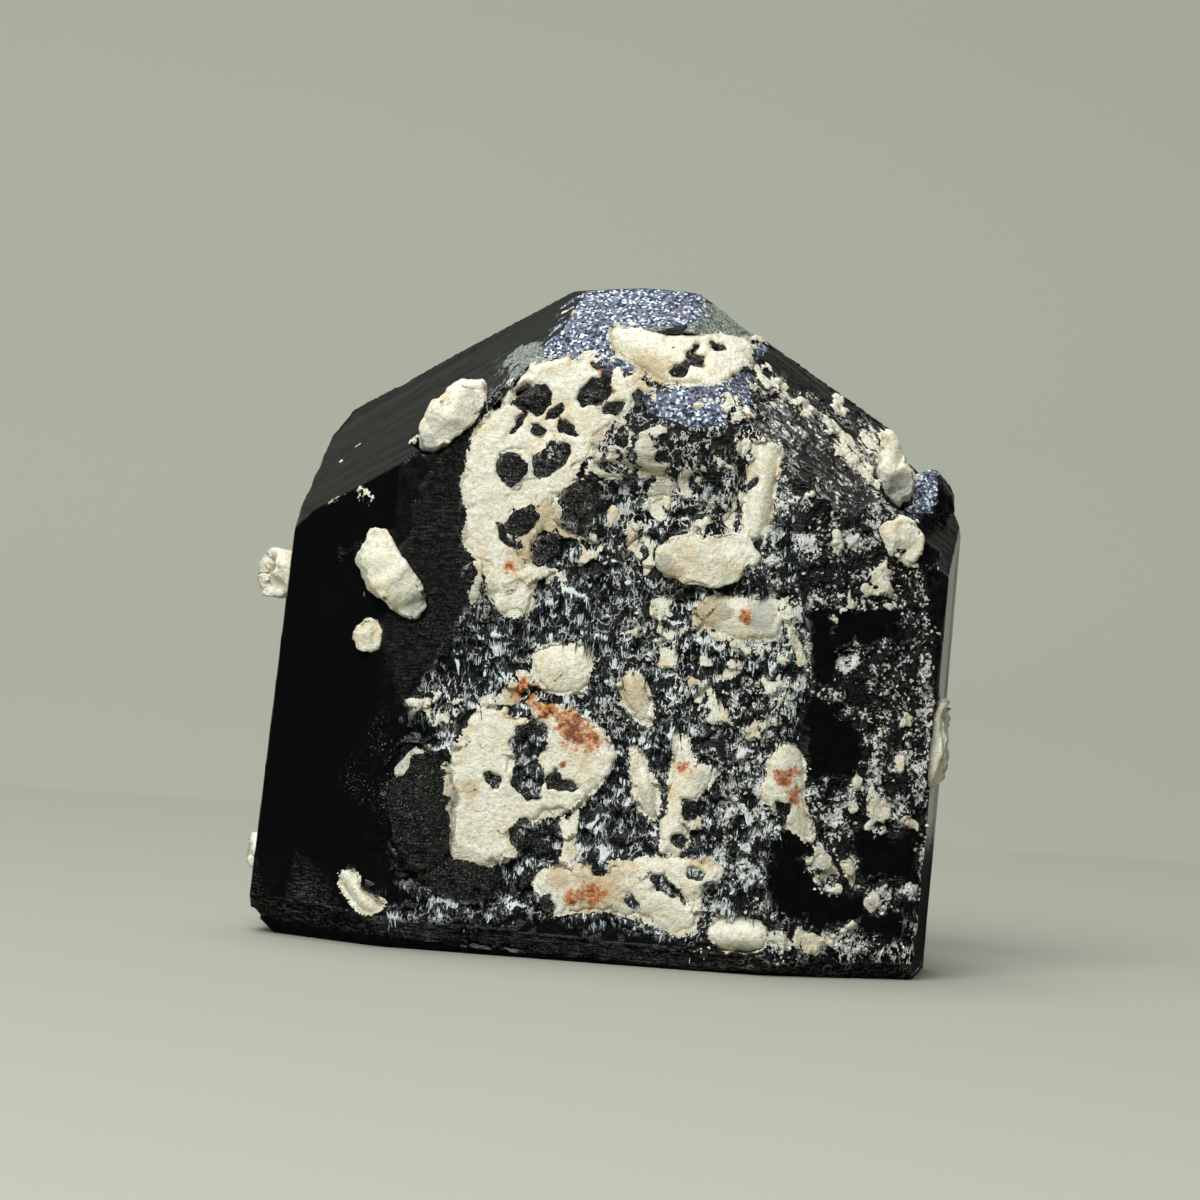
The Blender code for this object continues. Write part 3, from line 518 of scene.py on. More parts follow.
def dress_schorl(sheets):
    """Relief of the schorl, then the masks that its material reads."""
    piece = fine_mesh("schorl", "schorl_crystal", FINE)
    points, normals = crystal_points(piece.data)
    points = fill_sockets(fill_pockets(points, sheets))
    x, y, z = points.T
    flat_front = front_depth(x)
    pitted = (z < 21.5) & (z > 1.5) & (x > -8) & (y < flat_front + 1.2)
    bare = bare_ground(points)
    points[:, 1] = np.where(pitted, np.minimum(y, flat_front + 0.26 + 0.1 * noise(points, 1.1, 4) - 0.25 * bare), y)
    set_crystal_points(piece.data, points)
    again = piece.modifiers.new("even", "REMESH")
    again.mode, again.voxel_size = "VOXEL", FINE
    bake(piece)
    points = crystal_points(piece.data)[0]
    stepped = zone(points[:, 0], points[:, 2], SOFT_ZONES, 0.8) * (points[:, 1] < 7)
    steps = piece.vertex_groups.new(name="steps")
    for level in np.unique(np.round(stepped, 1)):
        steps.add(np.flatnonzero(np.round(stepped, 1) == level).tolist(), float(level), "REPLACE")
    rounded = piece.modifiers.new("rounded", "SMOOTH")
    rounded.factor, rounded.iterations, rounded.vertex_group = 0.8, 45, "steps"
    bake(piece)
    piece.vertex_groups.clear()
    points, normals = crystal_points(piece.data)
    x, y, z = points.T
    nx, ny, nz = normals.T
    f = schorl_fields(points, normals)
    down, own = ledges(x + 0.3 * noise(points, 0.7, 3), z + 0.8 * noise(points, 1.3, 6), 0.75, 1.5, 5)
    etched = np.maximum(f["needle"], 0.5 * f["salt"]) * (1 - 0.85 * f["bare"])
    relief = etched * (0.26 * down + 0.12 * own - 0.22)
    relief += f["needle"] * (1 - f["bare"]) * 0.05 * noise(points, (0.16, 0.16, 1.1), 21)
    relief += f["salt"] * (1 - f["bare"]) * (0.1 * noise(points, 0.55, 22) + 0.06 * noise(points, 0.26, 23) - 0.05)
    knob = inside(x + 0.2 * noise(points, 0.7, 8), z, KNOB)
    relief += smooth(-0.1, 0.25, knob) * (y < 2) * (0.3 + 0.25 * smooth(0.1, 1.3, knob)) - 0.2 * np.exp(-((knob + 0.25) / 0.15) ** 2) * (y < 2)
    coarse = np.maximum(f["rough"], smooth(-0.1, 0.2, knob) * (y < 2))
    relief += coarse * (0.14 * noise(points, 1.3, 24) + 0.1 * noise(points, (0.5, 0.5, 0.3), 25) + 0.06 * noise(points, 0.22, 26) - 0.08)
    for bx, bz, across, up, out in BOSSES:
        dome = 1 - ((x + 0.12 * noise(points, 0.5, 9) - bx) / across) ** 2 - ((z - bz) / up) ** 2
        relief += np.where(y < front_depth(x) + 4, out * np.sqrt(np.clip(dome, 0, 1)), 0)
    tip = smooth(1.9, 1.1, np.linalg.norm(points - TIP_KNOB, axis=1)) * smooth(16.0, 15.0, x)
    relief += tip * (0.4 + 0.1 * noise(points, 0.5, 29))
    scallop = np.hypot((x + 13.2) / 1.0, (z - 17.0) / 1.8)
    relief -= np.where(y < 3, 0.14 * np.clip(1 - scallop ** 2, 0, 1), 0)
    relief += f["island"] * (y < front_depth(x) + 1.5) * (0.08 + 0.16 * noise(points, 0.6, 27) + 0.08 * noise(points, 0.25, 28))
    left_end, right_end = smooth(0.5, 0.62, -nx * (nz > 0.5)), smooth(0.45, 0.55, nx * (nz > 0.5))
    for mask, strike in ((left_end, (0.4, 0.86, 0.33)), (right_end, (-0.48, 0.8, -0.35))):
        groove = points @ np.array(strike)
        lanes = np.stack([groove, (points @ np.array((0.69, 0, 0.63 if mask is left_end else -0.63))) * 0.12, y * 0], 1)
        relief += mask * (0.02 * noise(lanes, 0.3, 31) + 0.035 * noise(lanes, 1.1, 32) - 0.03)
    side = smooth(0.6, 0.9, np.hypot(nx, ny)) * (y > 4)
    relief += side * (0.05 * noise(points, (0.5, 0.5, 9.0), 41) + 0.025 * noise(points, (0.2, 0.2, 5.0), 42) - 0.03)
    back_end = smooth(0.3, 0.6, nz) * smooth(6, 9, y)
    relief += back_end * (0.06 * noise(points, 1.8, 43) + 0.04 * noise(points, 0.5, 44) - 0.05)
    chipped = smooth(0.15, 0.35, -nz) * (z > 0.25)
    relief += chipped * (0.12 * noise(points, (1.4, 1.4, 0.6), 45) + 0.06 * noise(points, 0.4, 46) - 0.1)
    push(piece.data, relief)

    thin = piece.modifiers.new("thin", "DECIMATE")
    thin.ratio = min(1.0, 185000 / (2 * len(piece.data.polygons)))
    calm = piece.vertex_groups.new(name="calm")
    rim = 0.8 * (zone(x, z, [NEEDLE_ZONE, *SALT_ZONES, *SPARKLE_ZONES], 2.4) > 0.02) * (y < 6)
    weights = np.clip(1 - np.maximum.reduce([f["needle"], f["salt"], f["lines"], f["island"], coarse * 0.8, rim]), 0.06, 1)
    for level in np.unique(np.round(weights, 1)):
        calm.add(np.flatnonzero(np.round(weights, 1) == level).tolist(), float(level), "REPLACE")
    thin.vertex_group, thin.vertex_group_factor = "calm", 1.0
    bake(piece)
    piece.vertex_groups.clear()

    mesh = piece.data
    points, normals = crystal_points(mesh)
    x, y, z = points.T
    f = schorl_fields(points, normals)
    tree = feldspar_tree()
    gap = np.array([tree.find_nearest(v.co, 2 * MM)[3] or 2 * MM if v.co.y < 0 else 2 * MM
                    for v in mesh.vertices], dtype=float) / MM
    cover = np.clip(1.05 - gap / 0.62, 0, 1) * (1 - f["island"]) + 0.12 * noise(points, 0.5, 51)
    film = np.clip(np.maximum(f["lines"], cover), 0, 1)
    knob = smooth(-0.15, 0.1, inside(x, z, KNOB)) * (y < 2)
    nx, ny, nz = normals.T
    left_end, right_end = (nx < 0) & (nz > 0.5), (nx > 0.3) & (nz > 0.5)
    groove = np.where(left_end, points @ np.array((0.4, 0.86, 0.33)), np.where(
        right_end, points @ np.array((-0.48, 0.8, -0.35)), y * np.sign(nx)))
    keep_value(mesh, "groove", groove)
    keep_value(mesh, "end_face", left_end | right_end)
    keep_value(mesh, "matt", left_end)
    keep_value(mesh, "web", np.maximum(f["web"], 0.55 * f["needle"]) * (1 - f["bare"]) * (1 - knob) * (1 - 0.9 * f["island"]))
    keep_value(mesh, "broken", smooth(0.15, 0.35, -nz) * (z > 0.25))
    keep_value(mesh, "granular", np.maximum.reduce([f["rough"], knob, 0.7 * f["island"]]))
    # Painted sparkle: where grey specks stand in for glints of light on the rough black schorl
    keep_value(mesh, "sparkle_mask", np.maximum.reduce([
        0.45 * zone(x + 1.6 * noise(points, 2.2, 55), z + 1.6 * noise(points, 2.5, 56), SPARKLE_ZONES, 1.6) * (y < 3)
        * smooth(-0.1, 0.6, noise(points, 1.4, 54)), knob, 0.8 * f["island"]]))
    keep_value(mesh, "veil", f["veil"])
    push(mesh, 0.1 * smooth(0.45, 0.7, f["lines"]))
    down, own = ledges(x + 0.3 * noise(points, 0.7, 3), z + 0.8 * noise(points, 1.3, 6), 0.75, 1.5, 5)
    keep_value(mesh, "film", film)
    open_ground = smooth(0.25, 0.6, gap) * (1 - smooth(0.2, 0.5, film)) * (1 - knob) * (1 - f["bare"])
    clumps = smooth(-0.25, 0.5, noise(points, 0.75, 52))
    keep_value(mesh, "grow", f["needle"] * open_ground * (1 - f["island"]) * smooth(-0.4, 0.3, noise(points, (0.8, 0.8, 1.2), 53)))
    keep_value(mesh, "dust", f["salt"] * open_ground * clumps * np.where(nz > 0.5, 0.4, 1.0))
    keep_value(mesh, "needle", f["needle"] * (1 - 0.9 * f["bare"]) * (1 - knob))
    keep_value(mesh, "salt", np.maximum(f["salt"] * (1 - f["bare"]) * (1 - knob), 0.75 * f["island"]))
    # The lower lip of each scale, where the painted sheen and painted highlights on the needle streaks are strongest
    keep_value(mesh, "lip", smooth(0.45, 0.95, down) * own)
    keep_value(mesh, "tarnish", f["tarnish"])
    keep_value(mesh, "rust", spots(x, z, RUST_SPOTS) * (y < 3))
    keep_value(mesh, "tan", spots(x, z, TAN_SPOTS) * (y < 3))
    glassy = smooth(0.3, 0.45, -nx) * (np.abs(nz) < 0.3) * (y < 10)
    right_side = 0.45 * smooth(0.9, 0.97, nx) * (x > 14)
    keep_value(mesh, "glassy", np.maximum.reduce([glassy * (1 - f["rough"]), 0.6 * f["bare"], right_side]))
    mesh.set_sharp_from_angle(angle=math.radians(38))
    even = piece.modifiers.new("even", "WEIGHTED_NORMAL")
    even.keep_sharp, even.weight = True, 60
    return bake(piece)


sheets = {name: measure_sheet(name) for name in SHEETS}
schorl = dress_schorl(sheets)


def new_group(name, inputs, outputs):
    """A shader group with its own inputs and outputs, and the two nodes that carry them."""
    group = bpy.data.node_groups.new(name, "ShaderNodeTree")
    for label, kind, start in inputs:
        socket = group.interface.new_socket(label, in_out="INPUT", socket_type=f"NodeSocket{kind}")
        if start is not None:
            socket.default_value = start
    for label, kind in outputs:
        group.interface.new_socket(label, in_out="OUTPUT", socket_type=f"NodeSocket{kind}")
    return group, group.nodes.new("NodeGroupInput"), group.nodes.new("NodeGroupOutput")


def plug(tree, socket, value):
    if isinstance(value, bpy.types.NodeSocket):
        tree.links.new(value, socket)
    else:
        socket.default_value = value


def math_node(tree, operation, a, b=0.0, c=0.0):
    node = tree.nodes.new("ShaderNodeMath")
    node.operation = operation
    for socket, value in zip(node.inputs, (a, b, c)):
        plug(tree, socket, value)
    return node.outputs[0]


def step_node(tree, value, low, high, bottom=0.0, top=1.0):
    """Value carried smoothly from bottom to top as it goes from low to high."""
    node = tree.nodes.new("ShaderNodeMapRange")
    node.interpolation_type = "SMOOTHSTEP"
    for label, number in (("From Min", low), ("From Max", high), ("To Min", bottom), ("To Max", top), ("Value", value)):
        plug(tree, node.inputs[label], number)
    return node.outputs[0]


def mix_node(tree, amount, a, b):
    node = tree.nodes.new("ShaderNodeMix")
    node.data_type = "RGBA"
    plug(tree, node.inputs["Factor"], amount)
    plug(tree, node.inputs["A"], a)
    plug(tree, node.inputs["B"], b)
    return node.outputs["Result"]


def noise_node(tree, vector, scale, detail=2.0, rough=0.5, stretch=None):
    if stretch:
        shape = tree.nodes.new("ShaderNodeVectorMath")
        shape.operation = "MULTIPLY"
        plug(tree, shape.inputs[0], vector)
        shape.inputs[1].default_value = stretch
        vector = shape.outputs[0]
    node = tree.nodes.new("ShaderNodeTexNoise")
    plug(tree, node.inputs["Vector"], vector)
    node.inputs["Scale"].default_value = scale
    node.inputs["Detail"].default_value = detail
    node.inputs["Roughness"].default_value = rough
    return node.outputs["Fac"]


def frayed_edge_group():
    """A soft field cut into a hard, frayed patch: used by the feldspar film and the blue tarnish."""
    group, into, out = new_group(
        "frayed_edge",
        [("Position", "Vector", None), ("Field", "Float", 0.5), ("Fray", "Float", 0.5), ("Softness", "Float", 0.05)],
        [("Mask", "Float")])
    coarse = noise_node(group, into.outputs["Position"], 1.7, 3, 0.6)
    fine = noise_node(group, into.outputs["Position"], 7.0, 2, 0.6)
    both = math_node(group, "ADD", math_node(group, "MULTIPLY", coarse, 0.6), math_node(group, "MULTIPLY", fine, 0.4))
    swing = math_node(group, "MULTIPLY", math_node(group, "SUBTRACT", both, 0.5), math_node(
        group, "MULTIPLY", into.outputs["Fray"], step_node(group, into.outputs["Field"], 0.05, 0.35, 0, 3.0)))
    value = math_node(group, "ADD", into.outputs["Field"], swing)
    low = math_node(group, "SUBTRACT", 0.5, into.outputs["Softness"])
    high = math_node(group, "ADD", 0.5, into.outputs["Softness"])
    group.links.new(step_node(group, value, low, high), out.inputs["Mask"])
    return group


def feldspar_group():
    """Chalky cream feldspar with tan veils, grey glints and rust."""
    group, into, out = new_group(
        "feldspar_surface",
        [("Position", "Vector", None), ("Tan", "Float", 0.0), ("Rust", "Float", 0.0), ("Clear", "Float", 0.0)],
        [("Color", "Color"), ("Roughness", "Float"), ("Height", "Float")])
    at = into.outputs["Position"]
    broad, grain, speck = noise_node(group, at, 0.9, 4, 0.6), noise_node(group, at, 5.0, 4, 0.65), noise_node(group, at, 16.0, 2)
    crumbs = group.nodes.new("ShaderNodeTexVoronoi")
    crumbs.inputs["Scale"].default_value = 4.5
    group.links.new(at, crumbs.inputs["Vector"])
    crumb = crumbs.outputs["Distance"]
    colour = mix_node(group, step_node(group, broad, 0.40, 0.66), (0.86, 0.86, 0.72, 1), (0.78, 0.73, 0.54, 1))
    colour = mix_node(group, step_node(group, crumb, 0.4, 0.7, 0, 0.4), colour, (0.62, 0.56, 0.40, 1))
    colour = mix_node(group, step_node(group, grain, 0.55, 0.75, 0, 0.55), colour, (0.90, 0.90, 0.81, 1))
    colour = mix_node(group, step_node(group, grain, 0.46, 0.3, 0, 0.75), colour, (0.50, 0.44, 0.31, 1))
    colour = mix_node(group, step_node(group, speck, 0.40, 0.30, 0, 0.55), colour, (0.38, 0.33, 0.24, 1))
    colour = mix_node(group, step_node(group, speck, 0.58, 0.66, 0, 0.6), colour, (0.95, 0.95, 0.88, 1))
    colour = mix_node(group, step_node(group, broad, 0.54, 0.68, 0, 0.35), colour, (0.78, 0.55, 0.29, 1))
    clear = math_node(group, "MULTIPLY_ADD", math_node(group, "SUBTRACT", grain, 0.5), 1.4, into.outputs["Clear"])
    colour = mix_node(group, step_node(group, clear, 0.3, 0.7, 0, 0.8), colour, (0.40, 0.41, 0.36, 1))
    tan = step_node(group, math_node(group, "MULTIPLY_ADD", math_node(group, "SUBTRACT", grain, 0.5), 2.6, into.outputs["Tan"]), 0.3, 1.1, 0, 0.8)
    tan = math_node(group, "MULTIPLY", tan, step_node(group, into.outputs["Tan"], 0.02, 0.2))
    colour = mix_node(group, tan, colour, (0.50, 0.38, 0.20, 1))
    plain = colour
    veins = noise_node(group, at, 2.4, 4, 0.7)
    stain = math_node(group, "MULTIPLY_ADD", math_node(group, "SUBTRACT", veins, 0.5), 3.4, into.outputs["Rust"])
    orange = mix_node(group, step_node(group, grain, 0.4, 0.6), (0.30, 0.065, 0.010, 1), (0.66, 0.24, 0.045, 1))
    colour = mix_node(group, step_node(group, stain, 0.35, 0.85, 0, 0.9), colour, orange)
    colour = mix_node(group, step_node(group, stain, 0.95, 1.2, 0, 0.85), colour, (0.15, 0.045, 0.015, 1))
    rusty = step_node(group, into.outputs["Rust"], 0.02, 0.2)
    colour = mix_node(group, rusty, plain, colour)
    group.links.new(colour, out.inputs["Color"])
    group.links.new(step_node(group, speck, 0.3, 0.7, 0.62, 0.45), out.inputs["Roughness"])
    height = math_node(group, "ADD", math_node(group, "MULTIPLY", grain, 0.8), math_node(group, "MULTIPLY", speck, 0.3))
    group.links.new(math_node(group, "SUBTRACT", height, math_node(group, "MULTIPLY", crumb, 0.2)), out.inputs["Height"])
    return group


def streaks_group():
    """Upright needles in scales like thatch: pale streaks that hang from each scale's lower lip, painted as a
    steel-blue sheen with painted highlights at the tips, and the bump of the scales.
    """
    group, into, out = new_group(
        "needle_streaks",
        [("Position", "Vector", None), ("Amount", "Float", 0.0), ("Lip", "Float", 0.0)],
        [("Painted Sheen", "Float"), ("Painted Glint", "Float"), ("Height", "Float")])
    at = into.outputs["Position"]
    sag = math_node(group, "MULTIPLY_ADD", noise_node(group, at, 0.7, 2), 1.8, -0.9)
    drop = group.nodes.new("ShaderNodeCombineXYZ")
    group.links.new(sag, drop.inputs["Z"])
    moved = group.nodes.new("ShaderNodeVectorMath")
    group.links.new(at, moved.inputs[0])
    group.links.new(drop.outputs[0], moved.inputs[1])
    drawn = group.nodes.new("ShaderNodeVectorMath")
    drawn.operation = "MULTIPLY"
    group.links.new(moved.outputs[0], drawn.inputs[0])
    drawn.inputs[1].default_value = (1.75, 0.6, 1.15)
    scales = group.nodes.new("ShaderNodeTexVoronoi")
    scales.inputs["Scale"].default_value = 1.0
    group.links.new(drawn.outputs[0], scales.inputs["Vector"])
    middle, here = group.nodes.new("ShaderNodeSeparateXYZ"), group.nodes.new("ShaderNodeSeparateXYZ")
    own = group.nodes.new("ShaderNodeSeparateColor")
    group.links.new(scales.outputs["Position"], middle.inputs[0])
    group.links.new(drawn.outputs[0], here.inputs[0])
    group.links.new(scales.outputs["Color"], own.inputs[0])
    down = math_node(group, "SUBTRACT", middle.outputs["Z"], here.outputs["Z"])
    thread = noise_node(group, at, 1.0, 2, 0.6, stretch=(10.5, 10.5, 1.2))
    bundle = noise_node(group, at, 1.0, 2, 0.5, stretch=(1.1, 1.1, 0.7))
    value = math_node(group, "MULTIPLY_ADD", step_node(group, down, 0.0, 0.38), 0.26, thread)
    value = math_node(group, "MULTIPLY_ADD", math_node(group, "SUBTRACT", own.outputs[0], 0.5), 0.2, value)
    value = math_node(group, "MULTIPLY_ADD", math_node(group, "SUBTRACT", bundle, 0.5), 0.9, value)
    value = math_node(group, "MULTIPLY_ADD", into.outputs["Lip"], 0.12, value)
    # The first output is a painted steel-blue sheen along the needles, the second a painted highlight at their tips
    for label, low, high in (("Painted Sheen", 0.66, 0.80), ("Painted Glint", 0.80, 0.84)):
        group.links.new(math_node(group, "MULTIPLY", step_node(group, value, low, high), into.outputs["Amount"]), out.inputs[label])
    group.links.new(math_node(group, "MULTIPLY_ADD", down, 0.7, thread), out.inputs["Height"])
    return group


def tarnish_group():
    """A skin of tiny tilted facets with blue, violet and white glints."""
    group, into, out = new_group(
        "blue_tarnish", [("Position", "Vector", None)], [("Color", "Color"), ("Height", "Float"), ("Roughness", "Float")])
    facets = group.nodes.new("ShaderNodeTexVoronoi")
    facets.inputs["Scale"].default_value = 8.5
    group.links.new(into.outputs["Position"], facets.inputs["Vector"])
    apart = group.nodes.new("ShaderNodeSeparateColor")
    group.links.new(facets.outputs["Color"], apart.inputs[0])
    colour = mix_node(group, step_node(group, apart.outputs[0], 0.2, 0.9), (0.012, 0.018, 0.035, 1), (0.17, 0.24, 0.33, 1))
    colour = mix_node(group, step_node(group, apart.outputs[1], 0.72, 0.9), colour, (0.25, 0.19, 0.27, 1))
    colour = mix_node(group, step_node(group, apart.outputs[2], 0.78, 0.86), colour, (0.72, 0.82, 0.88, 1))
    group.links.new(colour, out.inputs["Color"])
    slope = math_node(group, "ADD", facets.outputs["Distance"], math_node(group, "MULTIPLY", apart.outputs[0], 0.8))
    group.links.new(slope, out.inputs["Height"])
    group.links.new(step_node(group, apart.outputs[1], 0, 1, 0.25, 0.5), out.inputs["Roughness"])
    return group


def use_group(tree, group, **values):
    node = tree.nodes.new("ShaderNodeGroup")
    node.node_tree = group
    for label, value in values.items():
        plug(tree, node.inputs[label], value)
    return node.outputs


def bump_node(tree, height, depth):
    """Bump whose full height is so many mm."""
    node = tree.nodes.new("ShaderNodeBump")
    plug(tree, node.inputs["Height"], height)
    node.inputs["Distance"].default_value = depth * MM
    return node.outputs[0]


def new_material(name):
    """An empty material with its shader and the position in mm."""
    material = bpy.data.materials.new(name)
    material.use_nodes = True
    tree = material.node_tree
    place = tree.nodes.new("ShaderNodeTexCoord")
    position = tree.nodes.new("ShaderNodeVectorMath")
    position.operation = "SCALE"
    position.inputs["Scale"].default_value = 1 / MM
    tree.links.new(place.outputs["Object"], position.inputs[0])
    return material, tree, tree.nodes["Principled BSDF"], position.outputs[0]


def value_node(tree, name):
    node = tree.nodes.new("ShaderNodeAttribute")
    node.attribute_name = name
    return node.outputs["Fac"]


FRAYED_EDGE, FELDSPAR_SURFACE = frayed_edge_group(), feldspar_group()
NEEDLE_STREAKS, BLUE_TARNISH = streaks_group(), tarnish_group()


def schorl_material():
    material, tree, shader, at = new_material("schorl")
    film, needle, salt, lip = (value_node(tree, n) for n in ("film", "needle", "salt", "lip"))
    tarnish, glassy = value_node(tree, "tarnish"), value_node(tree, "glassy")
    body = noise_node(tree, at, 2.5, 4, 0.6)
    pores = noise_node(tree, at, 11.0, 3, 0.6)
    black = mix_node(tree, step_node(tree, body, 0.35, 0.75), (0.0025, 0.003, 0.003, 1), (0.008, 0.009, 0.0085, 1))
    black = mix_node(tree, glassy, black, (0.003, 0.0035, 0.0035, 1))
    streak = use_group(tree, NEEDLE_STREAKS, Position=at, Amount=needle, Lip=lip)
    # Painted sheen and painted highlights: a steel-blue tint along the needle streaks and pale tips stand in for light
    # that the needles reflect
    painted_sheen = mix_node(tree, step_node(tree, noise_node(tree, at, 3.0), 0.35, 0.65), (0.012, 0.019, 0.022, 1), (0.065, 0.10, 0.12, 1))
    colour = mix_node(tree, streak["Painted Sheen"], black, painted_sheen)
    colour = mix_node(tree, streak["Painted Glint"], colour, (0.68, 0.73, 0.70, 1))
    end_face, groove = value_node(tree, "end_face"), value_node(tree, "groove")
    along = tree.nodes.new("ShaderNodeVectorMath")
    along.operation = "DOT_PRODUCT"
    along.inputs[1].default_value = (0.69, -0.08, -0.63)
    tree.links.new(at, along.inputs[0])
    back = tree.nodes.new("ShaderNodeVectorMath")
    back.operation = "SCALE"
    back.inputs[0].default_value = (0.69, -0.08, -0.63)
    plug(tree, back.inputs["Scale"], math_node(tree, "MULTIPLY", math_node(tree, "MULTIPLY", along.outputs["Value"], end_face), -0.7))
    drawn = tree.nodes.new("ShaderNodeVectorMath")
    tree.links.new(at, drawn.inputs[0])
    tree.links.new(back.outputs[0], drawn.inputs[1])
    net = noise_node(tree, drawn.outputs[0], 5.2, 5, 0.76)
    patches = noise_node(tree, drawn.outputs[0], 1.0, 3)
    level = math_node(tree, "MULTIPLY_ADD", math_node(tree, "SUBTRACT", patches, 0.52), 0.8, net)
    seen = math_node(tree, "MAXIMUM", math_node(tree, "MULTIPLY", salt, 0.49), math_node(tree, "MULTIPLY", needle, 0.22))
    grains = step_node(tree, math_node(tree, "ADD", level, math_node(tree, "SUBTRACT", seen, 0.5)), 0.53, 0.56)
    ridge = math_node(tree, "ABSOLUTE", math_node(tree, "SUBTRACT", noise_node(tree, at, 1.0, 3, 0.65, stretch=(1.9, 1.9, 1.2)), 0.5))
    thread = math_node(tree, "MULTIPLY", step_node(tree, ridge, 0.03, 0.016), step_node(tree, patches, 0.42, 0.55))
    grains = math_node(tree, "MAXIMUM", grains, math_node(tree, "MULTIPLY", thread, value_node(tree, "web")))
    patch = use_group(tree, FRAYED_EDGE, Position=at, Field=film, Fray=0.55, Softness=0.04)["Mask"]
    stone = use_group(tree, FELDSPAR_SURFACE, Position=at, Tan=value_node(tree, "tan"), Rust=value_node(tree, "rust"))
    white = mix_node(tree, patches, (0.62, 0.66, 0.63, 1), (0.82, 0.82, 0.76, 1))
    granular, sparkle_mask, broken = (value_node(tree, n) for n in ("granular", "sparkle_mask", "broken"))
    hair = noise_node(tree, at, 1.0, 3, 0.6, stretch=(2.2, 2.2, 11.0))
    crumbs = noise_node(tree, at, 7.0, 3, 0.7)
    ash = step_node(tree, math_node(tree, "ADD", hair, math_node(tree, "SUBTRACT", crumbs, 0.5)), 0.48, 0.66)
    colour = mix_node(tree, math_node(tree, "MULTIPLY", ash, granular), colour, (0.036, 0.036, 0.03, 1))
    colour = mix_node(tree, math_node(tree, "MULTIPLY", ash, broken), colour, (0.075, 0.078, 0.066, 1))
    # Painted sparkle: grey specks that stand in for glints of light on the rough black facets
    painted_sparkle = step_node(tree, noise_node(tree, at, 11.0, 2, 0.6), 0.63, 0.67)
    colour = mix_node(tree, math_node(tree, "MULTIPLY", painted_sparkle, step_node(tree, sparkle_mask, 0.25, 0.6)), colour, (0.26, 0.28, 0.25, 1))
    combed = tree.nodes.new("ShaderNodeTexNoise")
    combed.noise_dimensions = "1D"
    plug(tree, combed.inputs["W"], groove)
    combed.inputs["Scale"].default_value, combed.inputs["Detail"].default_value = 5.0, 4.0
    colour = mix_node(tree, math_node(tree, "MULTIPLY", step_node(tree, combed.outputs["Fac"], 0.5, 0.75), end_face), colour, (0.014, 0.015, 0.013, 1))
    colour = mix_node(tree, grains, colour, white)
    veil = math_node(tree, "ADD", value_node(tree, "veil"), math_node(tree, "MULTIPLY", math_node(tree, "SUBTRACT", body, 0.5), 1.6))
    grey = mix_node(tree, step_node(tree, crumbs, 0.35, 0.65), (0.05, 0.065, 0.058, 1), (0.42, 0.47, 0.41, 1))
    colour = mix_node(tree, step_node(tree, veil, 0.45, 0.6, 0, 0.85), colour, grey)
    skin = use_group(tree, BLUE_TARNISH, Position=at)
    crust = use_group(tree, FRAYED_EDGE, Position=at, Field=tarnish, Fray=0.35, Softness=0.08)["Mask"]
    colour = mix_node(tree, crust, colour, skin["Color"])
    colour = mix_node(tree, patch, colour, stone["Color"])
    tree.links.new(colour, shader.inputs["Base Color"])
    pale = math_node(tree, "MAXIMUM", patch, grains)
    dull = step_node(tree, glassy, 0, 1, 0.26, 0.06)
    calm = math_node(tree, "SUBTRACT", 1.0, glassy)
    dull = math_node(tree, "MULTIPLY_ADD", math_node(tree, "SUBTRACT", pores, 0.5), math_node(tree, "MULTIPLY", calm, 0.4), dull)
    dull = math_node(tree, "MULTIPLY_ADD", value_node(tree, "matt"), 0.22, dull)
    rough = tree.nodes.new("ShaderNodeMix")
    for label, value in (("Factor", pale), ("A", dull), ("B", 0.55)):
        plug(tree, rough.inputs[label], value)
    tree.links.new(rough.outputs[0], shader.inputs["Roughness"])
    shader.inputs["IOR"].default_value = 1.64
    shader.inputs["Specular IOR Level"].default_value = 0.16
    coarse = math_node(tree, "MAXIMUM", granular, math_node(tree, "MULTIPLY", salt, 0.5))
    covered = step_node(tree, film, 0.3, 0.6)
    height = 0.0
    for mask, shape, depth in ((calm, body, 0.05), (coarse, crumbs, 0.26), (granular, hair, 0.22), (broken, hair, 0.3),
                               (needle, streak["Height"], 0.13), (end_face, combed.outputs["Fac"], 0.05),
                               (tarnish, skin["Height"], 0.08), (covered, stone["Height"], 0.13)):
        height = math_node(tree, "MULTIPLY_ADD", math_node(tree, "MULTIPLY", shape, mask), depth, height)
    tree.links.new(bump_node(tree, height, 1.0), shader.inputs["Normal"])
    return material


schorl.data.materials.clear()
schorl.data.materials.append(schorl_material())
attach(schorl, "root")
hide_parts("schorl_crystal")

# Orthoclase
# Chalky cream feldspar in 24 pieces: thin masses that fill pockets of the front, and crystals and
# grains seated in sockets. Each grew against the schorl, so its edge is frayed and closes the gap.

FELDSPAR_FINE = 0.11 * MM


def orthoclase_material():
    material, tree, shader, at = new_material("orthoclase")
    stone = use_group(tree, FELDSPAR_SURFACE, Position=at, Tan=value_node(tree, "tan"), Rust=value_node(tree, "rust"),
                      Clear=value_node(tree, "clear"))
    tree.links.new(stone["Color"], shader.inputs["Base Color"])
    tree.links.new(stone["Roughness"], shader.inputs["Roughness"])
    tree.links.new(bump_node(tree, stone["Height"], 0.13), shader.inputs["Normal"])
    return material


ORTHOCLASE = orthoclase_material()


